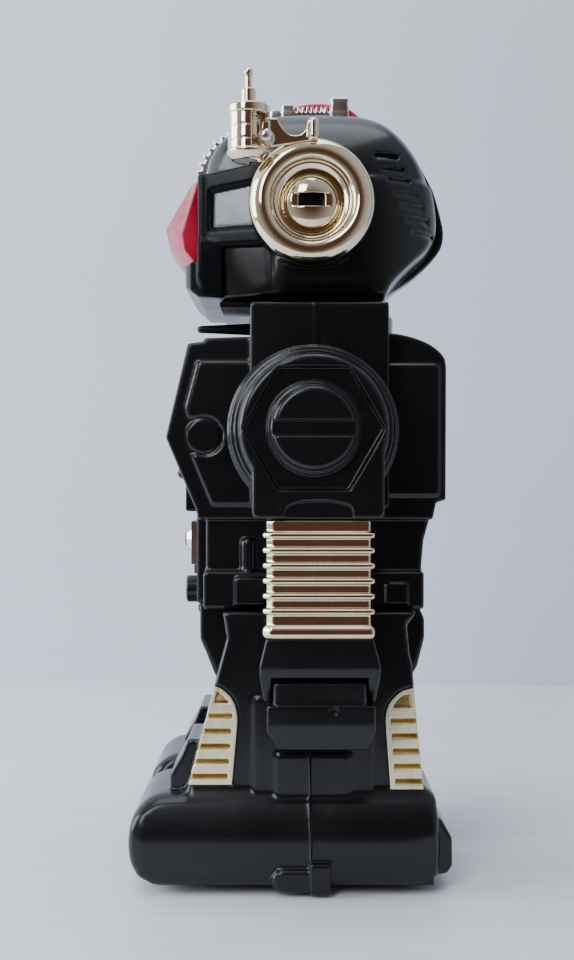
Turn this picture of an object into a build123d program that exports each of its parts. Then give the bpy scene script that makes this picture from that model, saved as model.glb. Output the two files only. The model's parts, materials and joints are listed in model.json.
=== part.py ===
"""Battery-driven toy robot, standing, about 309 mm tall, as an assembly of its moulded and bought-in pieces.

Frame, in millimetres: +Z up, the robot faces -Y, its left side is +X, and the origin is on the floor under
the middle of its outline. Outlines drawn in the side view are lists of (y, z) points.
"""

import os
from math import asin, cos, degrees, hypot, pi, radians, sin, sqrt, tan

from build123d import *

# ---------------------------------------------------------------- driving dimensions
WALL = 2.2  # moulded wall thickness
GAP = 0.3  # clearance between pieces that move past each other
SEAT = 0.1  # clearance round a piece that is set into another
RUNNING = 0.06  # radial clearance of a shaft in its bore
PARTING_Y = 9.0  # upright plane where front and rear shells of the torso meet
LEG_PARTING_Y = 7.6

CHEST_HALF, FLANK_PANEL = 50.0, 1.2  # half width of the chest, and how far its flank panels stand out
WAIST_HALF = 46.0
BELLY_HALF, BELLY_FRONT = 27.0, -36.6
PELVIS_HALF = 26.0
CHEST_TOP = 206.0
BELT_TOP, BELT_BOTTOM = 117.6, 103.1
PELVIS_BOTTOM = 64.0
BACK_Y = 59.2

TOWER_X = (40.0, 60.0)  # shoulder towers that carry the arms
TOWER_Y = (-14.6, 36.7)
TOWER_TOP = 217.8
SHOULDER_Y, SHOULDER_Z = 8.5, 170.2  # the arms swing about X through here
STUB_R = 6.0

NECK_Y = 12.8
NECK_R = 30.0
NECK_TOP = 218.3
SPINDLE_R = 14.0
HEAD_BOTTOM = NECK_TOP + GAP

LEG_X, HIP_IN = (12.0, 56.0), PELVIS_HALF + GAP
FOOT_X = (7.0, 64.0)
FOOT_TOP, FOOT_LOW = 36.8, 3.5
SOLE_T = 2.0

AXLE_Y, AXLE_Z = 5.2, 10.2  # the wheels' axle also runs along X
WHEEL_R, HUB_R, AXLE_R = 10.2, 8.2, 1.5

HELMET_HALF, FACE_HALF = 48.0, 42.0
EAR_Y, EAR_Z, EAR_R = 8.1, 254.9, 23.4
ANTENNA_X, ANTENNA_Y = 64.5, -15.1
HINGE_Y, HINGE_Z = -8.9, 276.7  # the antenna tilts about X through here

ARM_X = (TOWER_X[1] + GAP, 82.0)
GRIP_X, GRIP_Z = 71.0, 76.5  # the hand swings about Y through here


# ---------------------------------------------------------------- helpers that work on the open part
def block(x, y, z, mode=Mode.ADD):
    """Box between two limits on each axis."""
    with Locations(((x[0] + x[1]) / 2, (y[0] + y[1]) / 2, (z[0] + z[1]) / 2)):
        Box(x[1] - x[0], y[1] - y[0], z[1] - z[0], mode=mode)


def outline_face(points, x):
    with BuildSketch(Plane.YZ.offset(x)) as face:
        with BuildLine():
            Polyline(*points, close=True)
        make_face()
    return face.sketch


def prism(points, x, mode=Mode.ADD):
    """A side-view outline carried across the robot between two x limits."""
    extrude(outline_face(points, x[0]), amount=x[1] - x[0], mode=mode)


def inset_prism(points, x, depth, mode=Mode.ADD):
    """The same with the outline and both ends drawn in by depth."""
    with BuildSketch(Plane.YZ.offset(x[0] + depth)) as face:
        with BuildLine():
            Polyline(*points, close=True)
        make_face()
        offset(amount=-depth, kind=Kind.INTERSECTION)
    extrude(face.sketch, amount=x[1] - x[0] - 2 * depth, mode=mode)


def bar(start, end, radius, mode=Mode.ADD):
    """Round bar between two points."""
    axis = Vector(*end) - Vector(*start)
    with BuildSketch(Plane(origin=start, z_dir=axis)) as face:
        Circle(radius)
    extrude(face.sketch, amount=axis.length, mode=mode)


def bar_x(x, y, z, radius, mode=Mode.ADD):
    bar((x[0], y, z), (x[1], y, z), radius, mode)


def rounded_panel(x, y, z, corner, mode=Mode.ADD):
    """Plate facing sideways, with its four corners rounded in the side view."""
    with BuildSketch(Plane.YZ.offset(x[0])) as face:
        with Locations(((y[0] + y[1]) / 2, (z[0] + z[1]) / 2)):
            RectangleRounded(y[1] - y[0], z[1] - z[0], corner)
    extrude(face.sketch, amount=x[1] - x[0], mode=mode)


def both_sides(part):
    """Adds a left-hand form and its mirror image."""
    add(part)
    add(mirror(part, about=Plane.YZ, mode=Mode.PRIVATE))


def keep_front(parting_y):
    split(bisect_by=Plane.XZ.offset(-parting_y), keep=Keep.TOP)


def keep_rear(parting_y):
    split(bisect_by=Plane.XZ.offset(-parting_y), keep=Keep.BOTTOM)


def save(part, name):
    """Names a finished piece and writes its STEP file."""
    part.label = name
    export_step(part, f"parts/{name}.step")


def save_pair(part, name):
    """Writes a left-hand piece and its mirror image for the right."""
    save(part, f"{name}_left")
    save(mirror(part, about=Plane.YZ), f"{name}_right")


# ---------------------------------------------------------------- torso shells
CHEST_TOP_FRONT = (-38.6, 203.5)
CHEST_TIP = (-46.9, 168.2)
CHEST_LOW_FRONT = (-35.0, 140.3)
CHEST = [
    CHEST_TOP_FRONT,
    CHEST_TIP,
    CHEST_LOW_FRONT,
    (-34.8, 137.0),
    (54.0, 137.0),
    (55.4, 143.4),
    (BACK_Y, 144.5),
    (BACK_Y, 196.0),
    (52.0, 203.9),
    (38.0, CHEST_TOP),
    (-30.0, CHEST_TOP),
]
WAIST = [(-31.8, 139.0), (-31.8, 116.0), (49.8, 116.0), (50.9, 129.0), (53.6, 139.0)]
BELT = [(-32.6, BELT_TOP), (-32.6, BELT_BOTTOM), (50.6, BELT_BOTTOM), (50.6, BELT_TOP)]
PELVIS = [
    (-35.4, 103.6),
    (-35.4, 89.0),
    (-33.4, 84.6),
    (-29.6, 75.0),
    (-24.0, 67.5),
    (-14.0, PELVIS_BOTTOM),
    (36.0, PELVIS_BOTTOM),
    (45.0, 69.0),
    (50.6, 78.4),
    (53.4, 89.6),
    (53.4, 97.0),
    (50.6, 103.6),
]
TRUNK_SPACE = [(-29.6, 203.0), (-29.6, 70.0), (38.0, 70.0), (38.0, 203.0)]

FRONT_BOX_HALF = 20.0  # box low on the chest's front
FRONT_BOX_Y, FRONT_BOX_Z = (-41.5, -30.0), (139.4, 153.0)
BAY_HALF, BAY_Y, BAY_Z = 31.6, 40.6, (146.6, 198.6)
SCREW_POSTS = [  # (x, z, front end, rear end)
    (39.0, 187.0, -41.0, 57.8),
    (-39.0, 187.0, -41.0, 57.8),
    (37.5, 124.0, -31.0, 49.0),
    (-37.5, 124.0, -31.0, 49.0),
]
SCREW_R, SCREW_HEAD_R = 1.4, 2.7
POWER_Z, POWER_R = 106.9, 5.6
PUSH_R, PUSH_REACH = 2.4, 2.7
SPEAKER_Z, SPEAKER_R = 184.0, 15.0


def tower():
    with BuildPart() as form:
        block(TOWER_X, TOWER_Y, (142.0, TOWER_TOP))
        fillet(form.edges().filter_by(Axis.X) + form.faces().sort_by(Axis.X)[-1].edges(), 1.2)
    return form.part


def waist_pipe():
    """Moulded pipe with a clamp at its foot, on the flank of the waist."""
    pipe_y, pipe_r = -15.8, 2.9
    with BuildPart() as form:
        bar((WAIST_HALF, pipe_y, 112.0), (WAIST_HALF, pipe_y, 127.4), pipe_r)
        with Locations((WAIST_HALF, pipe_y, 127.4)):
            Sphere(pipe_r)
        block((WAIST_HALF - 2, CHEST_HALF + 2.6), (-20.6, -9.0), (104.8, 115.4))
        block((WAIST_HALF, CHEST_HALF + 1.4), (36.0, 44.5), (105.0, 113.5))
    return form.part


def flank_panels():
    """Raised panels on the flank of the chest; the front one steps round a circular boss."""
    inner, outer = CHEST_HALF - FLANK_PANEL - 0.4, CHEST_HALF
    with BuildPart() as form:
        points = [
            (-34.4, 196.4),
            (-38.6, 179.1),
            (-37.8, 176.1),
            (-25.8, 176.1),
            (-25.8, 161.4),
            (-36.4, 161.4),
            (-31.6, 150.0),
            (-29.2, 142.6),
            (-18.0, 142.6),
            (-18.0, 196.4),
        ]
        prism(points, (inner, outer))
        bar_x((inner - 0.1, outer - 0.4), -32.4, 168.7, 6.6)
        rounded_panel((inner, outer), (36.0, 56.4), (146.0, 195.6), 1.4)
    return form.part


def torso_form():
    """Closed outer form of chest, waist, belt, pelvis and shoulder towers."""
    with BuildPart() as form:
        prism(CHEST, (-CHEST_HALF + FLANK_PANEL, CHEST_HALF - FLANK_PANEL))
        prism(WAIST, (-WAIST_HALF, WAIST_HALF))
        prism(BELT, (-CHEST_HALF, CHEST_HALF))
        prism(PELVIS, (-PELVIS_HALF, PELVIS_HALF))
        block((-BELLY_HALF, BELLY_HALF), (BELLY_FRONT, -28), (BELT_BOTTOM, 138.5))
        block((-FRONT_BOX_HALF, FRONT_BOX_HALF), FRONT_BOX_Y, FRONT_BOX_Z)
        both_sides(tower())
    return form.part


def torso_space():
    """Free space inside the torso."""
    with BuildPart() as space:
        inset_prism(CHEST, (-CHEST_HALF + FLANK_PANEL, CHEST_HALF - FLANK_PANEL), WALL)
        prism(TRUNK_SPACE, (-PELVIS_HALF + WALL, PELVIS_HALF - WALL))
        block((-WAIST_HALF + WALL, WAIST_HALF - WALL), (-29.6, 47.4), (BELT_BOTTOM + WALL, 142.0))
        block((-BELLY_HALF + WALL, BELLY_HALF - WALL), (BELLY_FRONT + WALL, -28), (BELT_BOTTOM - 4, 136.3))
        x = FRONT_BOX_HALF - WALL
        z = (FRONT_BOX_Z[0] + WALL, FRONT_BOX_Z[1] - WALL)
        block((-x, x), (FRONT_BOX_Y[0] + WALL, FRONT_BOX_Y[1]), z)
        for side in (1, -1):
            x = sorted((side * (TOWER_X[0] + WALL), side * (TOWER_X[1] - WALL)))
            block(x, (TOWER_Y[0] + WALL, TOWER_Y[1] - WALL), (144.2, TOWER_TOP - WALL))
    return space.part


def push_button_line():
    """Where the chest button sits on the lower slanted face, and that face's outward direction."""
    run_y = CHEST_LOW_FRONT[0] - CHEST_TIP[0]
    run_z = CHEST_LOW_FRONT[1] - CHEST_TIP[1]
    length = hypot(run_y, run_z)
    share = 0.44  # how far down that face
    seat = Vector(0, CHEST_TIP[0] + share * run_y, CHEST_TIP[1] + share * run_z)
    return seat, Vector(0, run_z / length, -run_y / length)


def bay_tray(mode):
    """Battery tray walls (added) or the room inside them (subtracted)."""
    if mode == Mode.ADD:
        x = BAY_HALF + 1.6
        block((-x, x), (BAY_Y - 1.6, BACK_Y - 1.0), (BAY_Z[0] - 1.6, BAY_Z[1] + 1.6), mode)
    else:
        block((-BAY_HALF, BAY_HALF), (BAY_Y, BACK_Y + 5), BAY_Z, mode)


def torso_shell():
    """Both torso mouldings before they are parted."""
    seat, outward = push_button_line()
    with BuildPart() as shell:
        add(torso_form())
        both_sides(waist_pipe())
        both_sides(flank_panels())
        add(torso_space(), mode=Mode.SUBTRACT)
        bay_tray(Mode.ADD)
        bay_tray(Mode.SUBTRACT)
        for side in (1, -1):
            x = sorted((side * 44.0, side * (TOWER_X[1] - 1)))
            bar_x(x, SHOULDER_Y, SHOULDER_Z, STUB_R + 3.5)
        for x, z, front, rear in SCREW_POSTS:
            bar((x, front, z), (x, rear, z), 3.6)
        bar_x((-70, 70), SHOULDER_Y, SHOULDER_Z, STUB_R + RUNNING, Mode.SUBTRACT)
        bar((0, NECK_Y, 190), (0, NECK_Y, 210), SPINDLE_R + 0.6, Mode.SUBTRACT)
        bar((0, -50, POWER_Z), (0, -30, POWER_Z), POWER_R + RUNNING, Mode.SUBTRACT)
        bar(seat - outward * 8, seat + outward * 8, PUSH_R + RUNNING, Mode.SUBTRACT)
        for row in range(5):
            low = SPEAKER_Z - 10.0 + 4.6 * row
            block((-16, 16), (-60, -36), (low, low + 1.8), Mode.SUBTRACT)
        for x, z, *_ in SCREW_POSTS:
            bar((x, -5, z), (x, 70, z), SCREW_R + SEAT, Mode.SUBTRACT)
            bar((x, SCREW_SEAT_Y, z), (x, 70, z), SCREW_HEAD_R + SEAT, Mode.SUBTRACT)
    return shell.part


def build_torso():
    shell = torso_shell()
    with BuildPart() as torso_front:
        add(shell)
        keep_front(PARTING_Y)
    save(torso_front.part, "torso_front")
    with BuildPart() as torso_rear:
        add(shell)
        keep_rear(PARTING_Y)
    save(torso_rear.part, "torso_rear")


# ---------------------------------------------------------------- torso fittings
SCREW_SEAT_Y = 43.0
DOOR_X, DOOR_Z = BAY_HALF - 0.4, (BAY_Z[0] + 0.4, BAY_Z[1] - 0.4)
CELL_R, CELL_LENGTH, CELL_PITCH, CELL_Y = 7.1, 50.0, 15.0, 48.4
LEVER_Z, LEVER_PIVOT_Y, LEVER_TIP_Y, LEVER_POST_R = 214.6, -9.5, -38.4, 1.5


def build_neck_collar():
    """Ring under the head, with the spindle's bearing and the lever's pivot post."""
    with BuildPart() as neck_collar:
        bar((0, NECK_Y, CHEST_TOP), (0, NECK_Y, NECK_TOP), NECK_R)
        bar((0, NECK_Y, CHEST_TOP + 2), (0, NECK_Y, NECK_TOP + 1), NECK_R - 2.4, Mode.SUBTRACT)
        bar((0, NECK_Y, CHEST_TOP), (0, NECK_Y, NECK_TOP), SPINDLE_R + 3)
        bar((0, NECK_Y, 200), (0, NECK_Y, 220), SPINDLE_R + RUNNING, Mode.SUBTRACT)
        block((-7.0, 7.0), (-22.0, -13.5), (LEVER_Z - 3.5, NECK_TOP + 1), Mode.SUBTRACT)
        bar((0, LEVER_PIVOT_Y, CHEST_TOP), (0, LEVER_PIVOT_Y, NECK_TOP - 0.6), LEVER_POST_R)
    save(neck_collar.part, "neck_collar")


def build_control_lever():
    """Tapered lever with a rounded tip, turning on the collar's post."""
    root_r, tip_r = 2.7, 1.5
    root_y, tip_y = LEVER_PIVOT_Y - 2.0, LEVER_TIP_Y + tip_r
    with BuildPart() as control_lever:
        bar((0, LEVER_PIVOT_Y, LEVER_Z - root_r), (0, LEVER_PIVOT_Y, LEVER_Z + root_r), 4.4)
        with BuildSketch(Plane.XZ.offset(-root_y)) as root:
            with Locations((0, LEVER_Z)):
                Circle(root_r)
        with BuildSketch(Plane.XZ.offset(-tip_y)) as tip:
            with Locations((0, LEVER_Z)):
                Circle(tip_r)
        loft([root.sketch, tip.sketch])
        with Locations((0, tip_y, LEVER_Z)):
            Sphere(tip_r)
        low, high = LEVER_Z - 5, LEVER_Z + 5
        bar((0, LEVER_PIVOT_Y, low), (0, LEVER_PIVOT_Y, high), LEVER_POST_R + RUNNING, Mode.SUBTRACT)
    save(control_lever.part, "control_lever")


def build_buttons():
    seat, outward = push_button_line()
    with BuildPart() as chest_button:
        bar(seat - outward * 5.5, seat + outward * PUSH_REACH, PUSH_R)
        with Locations(seat + outward * PUSH_REACH):
            Sphere(PUSH_R)
        bar(seat - outward * 5.5, seat - outward * 4.3, PUSH_R + 1.5)
    save(chest_button.part, "chest_button")

    with BuildPart() as power_button:
        bar((0, -42.6, POWER_Z), (0, -31.0, POWER_Z), POWER_R)
        chamfer(power_button.edges().sort_by(Axis.Y)[0], 0.6)
        bar((0, BELLY_FRONT + WALL + GAP, POWER_Z), (0, -32.6, POWER_Z), POWER_R + 1.4)
    save(power_button.part, "power_button")


def build_waist_trim():
    """Bright plates on the belly and the pelvis, each with a red jewel."""
    plate_y, mount_y, low_plate_y = -39.4, -42.4, -36.6
    jewel_z, low_jewel_z = 127.6, 98.9
    with BuildPart() as waist_plates:
        block((-19, 19), (plate_y, BELLY_FRONT), (118.2, 135.6))
        block((-17, 17), (plate_y + 1.0, BELLY_FRONT), (114.4, 118.2))
        with BuildSketch(Plane.XZ.offset(-plate_y)):
            with Locations((0, jewel_z)):
                RegularPolygon(6.2, 8)
        extrude(amount=plate_y - mount_y, taper=34)
        block((-9, 9), (low_plate_y, -35.4), (89.8, 100.9))
    save(waist_plates.part, "waist_plates")

    with BuildPart() as waist_jewels:
        with BuildSketch(Plane.XZ.offset(-mount_y)):
            with Locations((0, jewel_z)):
                RegularPolygon(3.2, 8)
        extrude(amount=0.8, taper=24)
        with BuildSketch(Plane.XZ.offset(-low_plate_y)):
            with Locations((0, low_jewel_z)):
                RegularPolygon(2.0, 8)
        extrude(amount=1.2, taper=24)
    save(waist_jewels.part, "waist_jewels")


def build_battery():
    """Four cells side by side, their contact plates and the door over them."""
    with BuildPart() as battery_cells:
        low = BAY_Z[0] + 0.8
        for x in [CELL_PITCH * (k - 1.5) for k in range(4)]:
            bar((x, CELL_Y, low), (x, CELL_Y, low + CELL_LENGTH - 1), CELL_R)
            bar((x, CELL_Y, low + CELL_LENGTH - 1), (x, CELL_Y, low + CELL_LENGTH), 2.7)
    save(battery_cells.part, "battery_cells")

    with BuildPart() as battery_contacts:
        for x in (-CELL_PITCH, CELL_PITCH):
            block((x - 12, x + 12), (CELL_Y - 5, CELL_Y + 5), (BAY_Z[0], BAY_Z[0] + 0.5))
            block((x - 12, x + 12), (CELL_Y - 5, CELL_Y + 5), (BAY_Z[1] - 0.5, BAY_Z[1]))
    save(battery_contacts.part, "battery_contacts")

    with BuildPart() as battery_door:
        block((-DOOR_X, DOOR_X), (BACK_Y - 2.6, BACK_Y), DOOR_Z)
        chamfer(battery_door.faces().sort_by(Axis.Y)[-1].edges(), 0.5)
        for row in range(4):
            z = DOOR_Z[1] - 12.0 - 4.0 * row
            block((-12, 12), (BACK_Y - 0.8, BACK_Y + 1), (z, z + 1.6), Mode.SUBTRACT)
    save(battery_door.part, "battery_door")


def build_electrics():
    with BuildPart() as speaker:
        bar((0, -32.0, SPEAKER_Z), (0, -29.0, SPEAKER_Z), SPEAKER_R)
        bar((0, -29.0, SPEAKER_Z), (0, -22.0, SPEAKER_Z), SPEAKER_R * 0.55)
    save(speaker.part, "speaker")

    with BuildPart() as circuit_board:
        block((-28, 28), (-21.6, -20.0), (150.0, 198.0))
        block((-20, -8), (-20.0, -14.0), (156.0, 166.0))
        block((2, 18), (-20.0, -17.0), (154.0, 160.0))
        bar((-8, -20, 188), (-8, -11, 188), 4.0)
    save(circuit_board.part, "circuit_board")

    with BuildPart() as body_screws:
        for x, z, *_ in SCREW_POSTS:
            bar((x, -2, z), (x, SCREW_SEAT_Y, z), SCREW_R)
            bar((x, SCREW_SEAT_Y, z), (x, SCREW_SEAT_Y + 2, z), SCREW_HEAD_R)
    save(body_screws.part, "body_screws")


# ---------------------------------------------------------------- legs and feet
LEG = [
    (-24.9, BELT_BOTTOM),
    (-23.4, 93.1),
    (-26.0, 83.6),
    (-37.8, 38.7),
    (-38.4, 34.0),
    (49.9, 34.0),
    (49.7, 36.8),
    (45.4, 83.6),
    (43.5, 97.9),
    (47.0, BELT_BOTTOM),
]
FOOT = [
    (-50.2, FOOT_LOW),
    (-56.1, 6.8),
    (-59.3, 12.6),
    (-60.6, 19.5),
    (-59.6, 24.4),
    (-57.2, 28.6),
    (-53.4, 33.2),
    (-47.6, FOOT_TOP),
    (51.0, FOOT_TOP),
    (54.2, 34.0),
    (56.0, 17.0),
    (55.4, FOOT_LOW),
]
SHIN_VENT = [(-27.95, 76.2), (-24.6, 74.6), (-20.6, 70.0), (-19.2, 64.4), (-21.4, 38.9), (-37.75, 38.9)]
CALF_VENT = [(46.1, 75.6), (40.8, 73.6), (36.4, 69.4), (35.6, 64.0), (37.3, 37.2), (49.66, 37.2)]
VENT_X = (30.0, LEG_X[1] + 0.6)  # stands 0.6 mm proud of the leg's side
VENT_ROWS, VENT_PITCH, VENT_SLOT = 6, 5.58, 2.2
ANKLE_X = (18.0, 50.0)
ANKLE = [(-45.0, 34.0), (-45.0, 41.2), (-40.7, 48.6), (-38.3, 54.4), (-25.0, 54.4), (-25.0, 34.0)]
HEEL = [(54.0, 27.0), (56.4, 26.0), (60.2, 19.0), (60.4, 9.0), (58.5, 6.2), (54.0, 5.0)]


def leg_form():
    with BuildPart() as form:
        prism(LEG, LEG_X)
        block((0, HIP_IN), (-60, 60), (PELVIS_BOTTOM - GAP, 110), Mode.SUBTRACT)
        prism(FOOT, FOOT_X)
        block((FOOT_X[1] - 4, FOOT_X[1] + 2.4), (-6.4, LEG_PARTING_Y), (1.6, 10.3))
        block((FOOT_X[1] - 4, FOOT_X[1] + 2.8), (LEG_PARTING_Y, 15.0), (0.6, 12.4))
        prism(HEEL, (16.0, 56.0))
        rounded_panel((LEG_X[1] - 1, LEG_X[1] + 0.9), (-13.6, 31.0), (33.0, 71.5), 2.0)
        rounded_panel((LEG_X[1] - 1, LEG_X[1] + 1.8), (-5.4, 22.4), (33.0, 50.8), 2.0)
        prism(ANKLE, ANKLE_X)
    return form.part


def leg_space():
    """Room inside leg and foot, open at the sole."""
    with BuildPart() as space:
        block((HIP_IN + WALL, LEG_X[1] - WALL), (-20.0, 40.0), (60.0, 99.0))
        block((LEG_X[0] + WALL, LEG_X[1] - WALL), (-16.6, 33.2), (30.0, PELVIS_BOTTOM - GAP - WALL))
        inset_prism(FOOT, FOOT_X, WALL)
        inset_prism(ANKLE, ANKLE_X, WALL)
        block((FOOT_X[0] + WALL, FOOT_X[1] - WALL), (-49.0, 53.0), (0.0, 12.0))
    return space.part


def leg_shell():
    """Both mouldings of the left leg and foot before they are parted."""
    with BuildPart() as shell:
        add(leg_form())
        add(leg_space(), mode=Mode.SUBTRACT)
        prism(SHIN_VENT, (VENT_X[0], 70), Mode.SUBTRACT)
        prism(CALF_VENT, (VENT_X[0], 70), Mode.SUBTRACT)
    return shell.part


def build_legs():
    shell = leg_shell()
    with BuildPart() as leg_front:
        add(shell)
        keep_front(LEG_PARTING_Y)
    save_pair(leg_front.part, "leg_front")
    with BuildPart() as leg_rear:
        add(shell)
        keep_rear(LEG_PARTING_Y)
    save_pair(leg_rear.part, "leg_rear")


def vent(points, cavity):
    """Bright grille set into a leg's corner: a shell with a row of slots through its outer end."""
    low_y = (points[-2][0] + points[-1][0]) / 2
    high_y = (points[0][0] + points[3][0]) / 2
    low_z, high_z = points[-1][1], points[0][1]
    with BuildPart() as grille:
        prism(points, VENT_X)
        prism(cavity, (VENT_X[0] + 2, VENT_X[1] - 2), Mode.SUBTRACT)
        for row in range(VENT_ROWS):
            z = low_z + 2.2 + VENT_PITCH * row
            share = (z - low_z) / (high_z - low_z)
            y = low_y + share * (high_y - low_y)
            half = 5.4 - 3.6 * share
            block((VENT_X[1] - 3, 70), (y - half, y + half), (z, z + VENT_SLOT), Mode.SUBTRACT)
    return grille.part


def build_vents():
    shin_cavity = [(-29.2, 71.0), (-36.0, 41.2), (-10.0, 41.2), (-10.0, 62.0), (-22.0, 66.0)]
    calf_cavity = [(43.8, 70.0), (47.2, 39.6), (25.0, 39.6), (25.0, 60.0), (37.0, 66.0)]
    with BuildPart() as shin_vents:
        both_sides(vent(SHIN_VENT, shin_cavity))
    save(shin_vents.part, "shin_vents")
    with BuildPart() as calf_vents:
        both_sides(vent(CALF_VENT, calf_cavity))
    save(calf_vents.part, "calf_vents")


WHEEL_X = ((14.4, 22.4), (48.6, 56.6))
BEARING_X = ((10.6, 13.4), (57.8, 60.6))
PAD_R, PAD_Y = 6.0, (-42.0, 42.0)


def sole(with_gear_slot):
    """Foot's bottom plate with glide pads, axle bearings and wheel slots."""
    inner = (FOOT_X[0] + WALL + SEAT, FOOT_X[1] - WALL - SEAT)
    middle = sum(FOOT_X) / 2
    with BuildPart() as plate:
        block(inner, (-48.8, 52.8), (FOOT_LOW, FOOT_LOW + SOLE_T))
        for y in PAD_Y:
            bar((middle, y, 0), (middle, y, FOOT_LOW + 0.5), PAD_R)
        for x in BEARING_X:
            block(x, (AXLE_Y - 4, AXLE_Y + 4), (FOOT_LOW, AXLE_Z + 4.5))
        for x in WHEEL_X:
            block(
                (x[0] - 0.8, x[1] + 0.8), (AXLE_Y - 9.4, AXLE_Y + 9.4), (0, FOOT_LOW + SOLE_T + 1),
                Mode.SUBTRACT,
            )
        if with_gear_slot:
            block((33.0, 39.0), (AXLE_Y - 7, AXLE_Y + 7), (0, FOOT_LOW + SOLE_T + 1), Mode.SUBTRACT)
        bar_x((0, 70), AXLE_Y, AXLE_Z, AXLE_R + RUNNING, Mode.SUBTRACT)
    return plate.part


def build_soles():
    save(sole(True), "sole_left")
    save(mirror(sole(False), about=Plane.YZ), "sole_right")


# ---------------------------------------------------------------- wheels and gears
MODULE = 0.6
AXLE_TEETH, IDLER_SMALL, IDLER_LARGE, PINION_TEETH = 22, 10, 24, 8
MESH_1 = MODULE * (AXLE_TEETH + IDLER_SMALL) / 2
MESH_2 = MODULE * (IDLER_LARGE + PINION_TEETH) / 2
LEAN_1, LEAN_2 = 40.0, 20.0  # directions axle to idler and idler to pinion, from +Y towards +Z
IDLER_Y = AXLE_Y + MESH_1 * cos(radians(LEAN_1))
IDLER_Z = AXLE_Z + MESH_1 * sin(radians(LEAN_1))
PINION_Y = IDLER_Y + MESH_2 * cos(radians(LEAN_2))
PINION_Z = IDLER_Z + MESH_2 * sin(radians(LEAN_2))
TOOTH_SHARE = 0.40  # of the circular pitch, which leaves backlash
MOTOR_R, MOTOR_X = 8.2, (10.4, 28.0)
LARGE_X, SMALL_X, AXLE_GEAR_X = (30.2, 33.0), (33.0, 38.2), (34.0, 38.0)
PLATE_X = ((28.0, 29.6), (38.8, 40.6))
IDLER_PIN_R, SHAFT_R = 1.4, 1.0


def gear_face(teeth, x, centre, tooth_angle):
    """Involute gear outline with one tooth centred on tooth_angle (degrees from +Y towards +Z)."""
    pitch_r = MODULE * teeth / 2
    base_r = pitch_r * cos(radians(22.5))
    tip_r, root_r = pitch_r + 0.85 * MODULE, pitch_r - 1.15 * MODULE

    def flank(radius):
        """Half the tooth's angle, in degrees, at a radius."""
        at = max(radius, base_r)
        roll = sqrt((at / base_r) ** 2 - 1)
        roll_pitch = sqrt((pitch_r / base_r) ** 2 - 1)
        half = TOOTH_SHARE * pi / teeth
        spread = (roll_pitch - _arc(roll_pitch)) - (roll - _arc(roll))
        return degrees(half + spread)

    points = []
    for tooth in range(teeth):
        middle = tooth_angle + 360 * tooth / teeth
        for radius, side in ((root_r, -1), (pitch_r, -1), (tip_r, -1), (tip_r, 1), (pitch_r, 1), (root_r, 1)):
            angle = radians(middle + side * flank(radius))
            points.append((centre[0] + radius * cos(angle), centre[1] + radius * sin(angle)))
    return outline_face(points, x)


def _arc(roll):
    return asin(roll / sqrt(1 + roll * roll))


def build_gears():
    with BuildPart() as axle_gear:
        x0, x1 = AXLE_GEAR_X
        extrude(gear_face(AXLE_TEETH, x0, (AXLE_Y, AXLE_Z), LEAN_1), amount=x1 - x0)
        bar_x(AXLE_GEAR_X, AXLE_Y, AXLE_Z, AXLE_R, Mode.SUBTRACT)
    save(axle_gear.part, "axle_gear")

    with BuildPart() as idler_gear:
        x0, x1 = SMALL_X
        gap_first = LEAN_1 + 180 + 180 / IDLER_SMALL
        extrude(gear_face(IDLER_SMALL, x0, (IDLER_Y, IDLER_Z), gap_first), amount=x1 - x0)
        x0, x1 = LARGE_X
        extrude(gear_face(IDLER_LARGE, x0, (IDLER_Y, IDLER_Z), LEAN_2), amount=x1 - x0)
        bar_x((PLATE_X[0][0] + 0.2, PLATE_X[1][1]), IDLER_Y, IDLER_Z, IDLER_PIN_R)
    save(idler_gear.part, "idler_gear")

    with BuildPart() as motor_pinion:
        x0, x1 = LARGE_X
        gap_first = LEAN_2 + 180 + 180 / PINION_TEETH
        extrude(gear_face(PINION_TEETH, x0, (PINION_Y, PINION_Z), gap_first), amount=x1 - x0)
        bar_x((MOTOR_X[1] - 8, LARGE_X[1] + 0.8), PINION_Y, PINION_Z, SHAFT_R)
    save(motor_pinion.part, "motor_pinion")


def build_gearbox():
    posts = ((-3.0, 22.0), (26.0, 28.5), (31.0, 9.0))
    with BuildPart() as gearbox_frame:
        for x in PLATE_X:
            block(x, (-6.0, 34.0), (FOOT_LOW + SOLE_T, 31.5))
        for y, z in posts:
            bar_x((PLATE_X[0][0], PLATE_X[1][1]), y, z, 2.2)
        bar_x((20, 50), AXLE_Y, AXLE_Z, AXLE_R + RUNNING, Mode.SUBTRACT)
        bar_x((20, 50), IDLER_Y, IDLER_Z, IDLER_PIN_R + RUNNING, Mode.SUBTRACT)
        bar_x((20, 30), PINION_Y, PINION_Z, 3.4, Mode.SUBTRACT)
    save(gearbox_frame.part, "gearbox_frame")

    with BuildPart() as motor:
        bar_x(MOTOR_X, PINION_Y, PINION_Z, MOTOR_R)
        bar_x((MOTOR_X[1], MOTOR_X[1] + 1.4), PINION_Y, PINION_Z, 3.0)
        bar_x((MOTOR_X[1] - 8.4, MOTOR_X[1] + 2), PINION_Y, PINION_Z, SHAFT_R + RUNNING, Mode.SUBTRACT)
    save(motor.part, "motor")


def axle_set():
    """Axle, wheel hubs and tyres of the left foot, as three parts."""
    with BuildPart() as axle:
        bar_x((BEARING_X[0][0] - 0.6, BEARING_X[1][1] + 0.6), AXLE_Y, AXLE_Z, AXLE_R)
    with BuildPart() as wheels:
        for x in WHEEL_X:
            bar_x(x, AXLE_Y, AXLE_Z, HUB_R)
            bar_x(x, AXLE_Y, AXLE_Z, AXLE_R, Mode.SUBTRACT)
    with BuildPart() as tyres:
        for x in WHEEL_X:
            bar_x(x, AXLE_Y, AXLE_Z, WHEEL_R)
            bar_x(x, AXLE_Y, AXLE_Z, HUB_R, Mode.SUBTRACT)
    return axle.part, wheels.part, tyres.part


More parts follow.
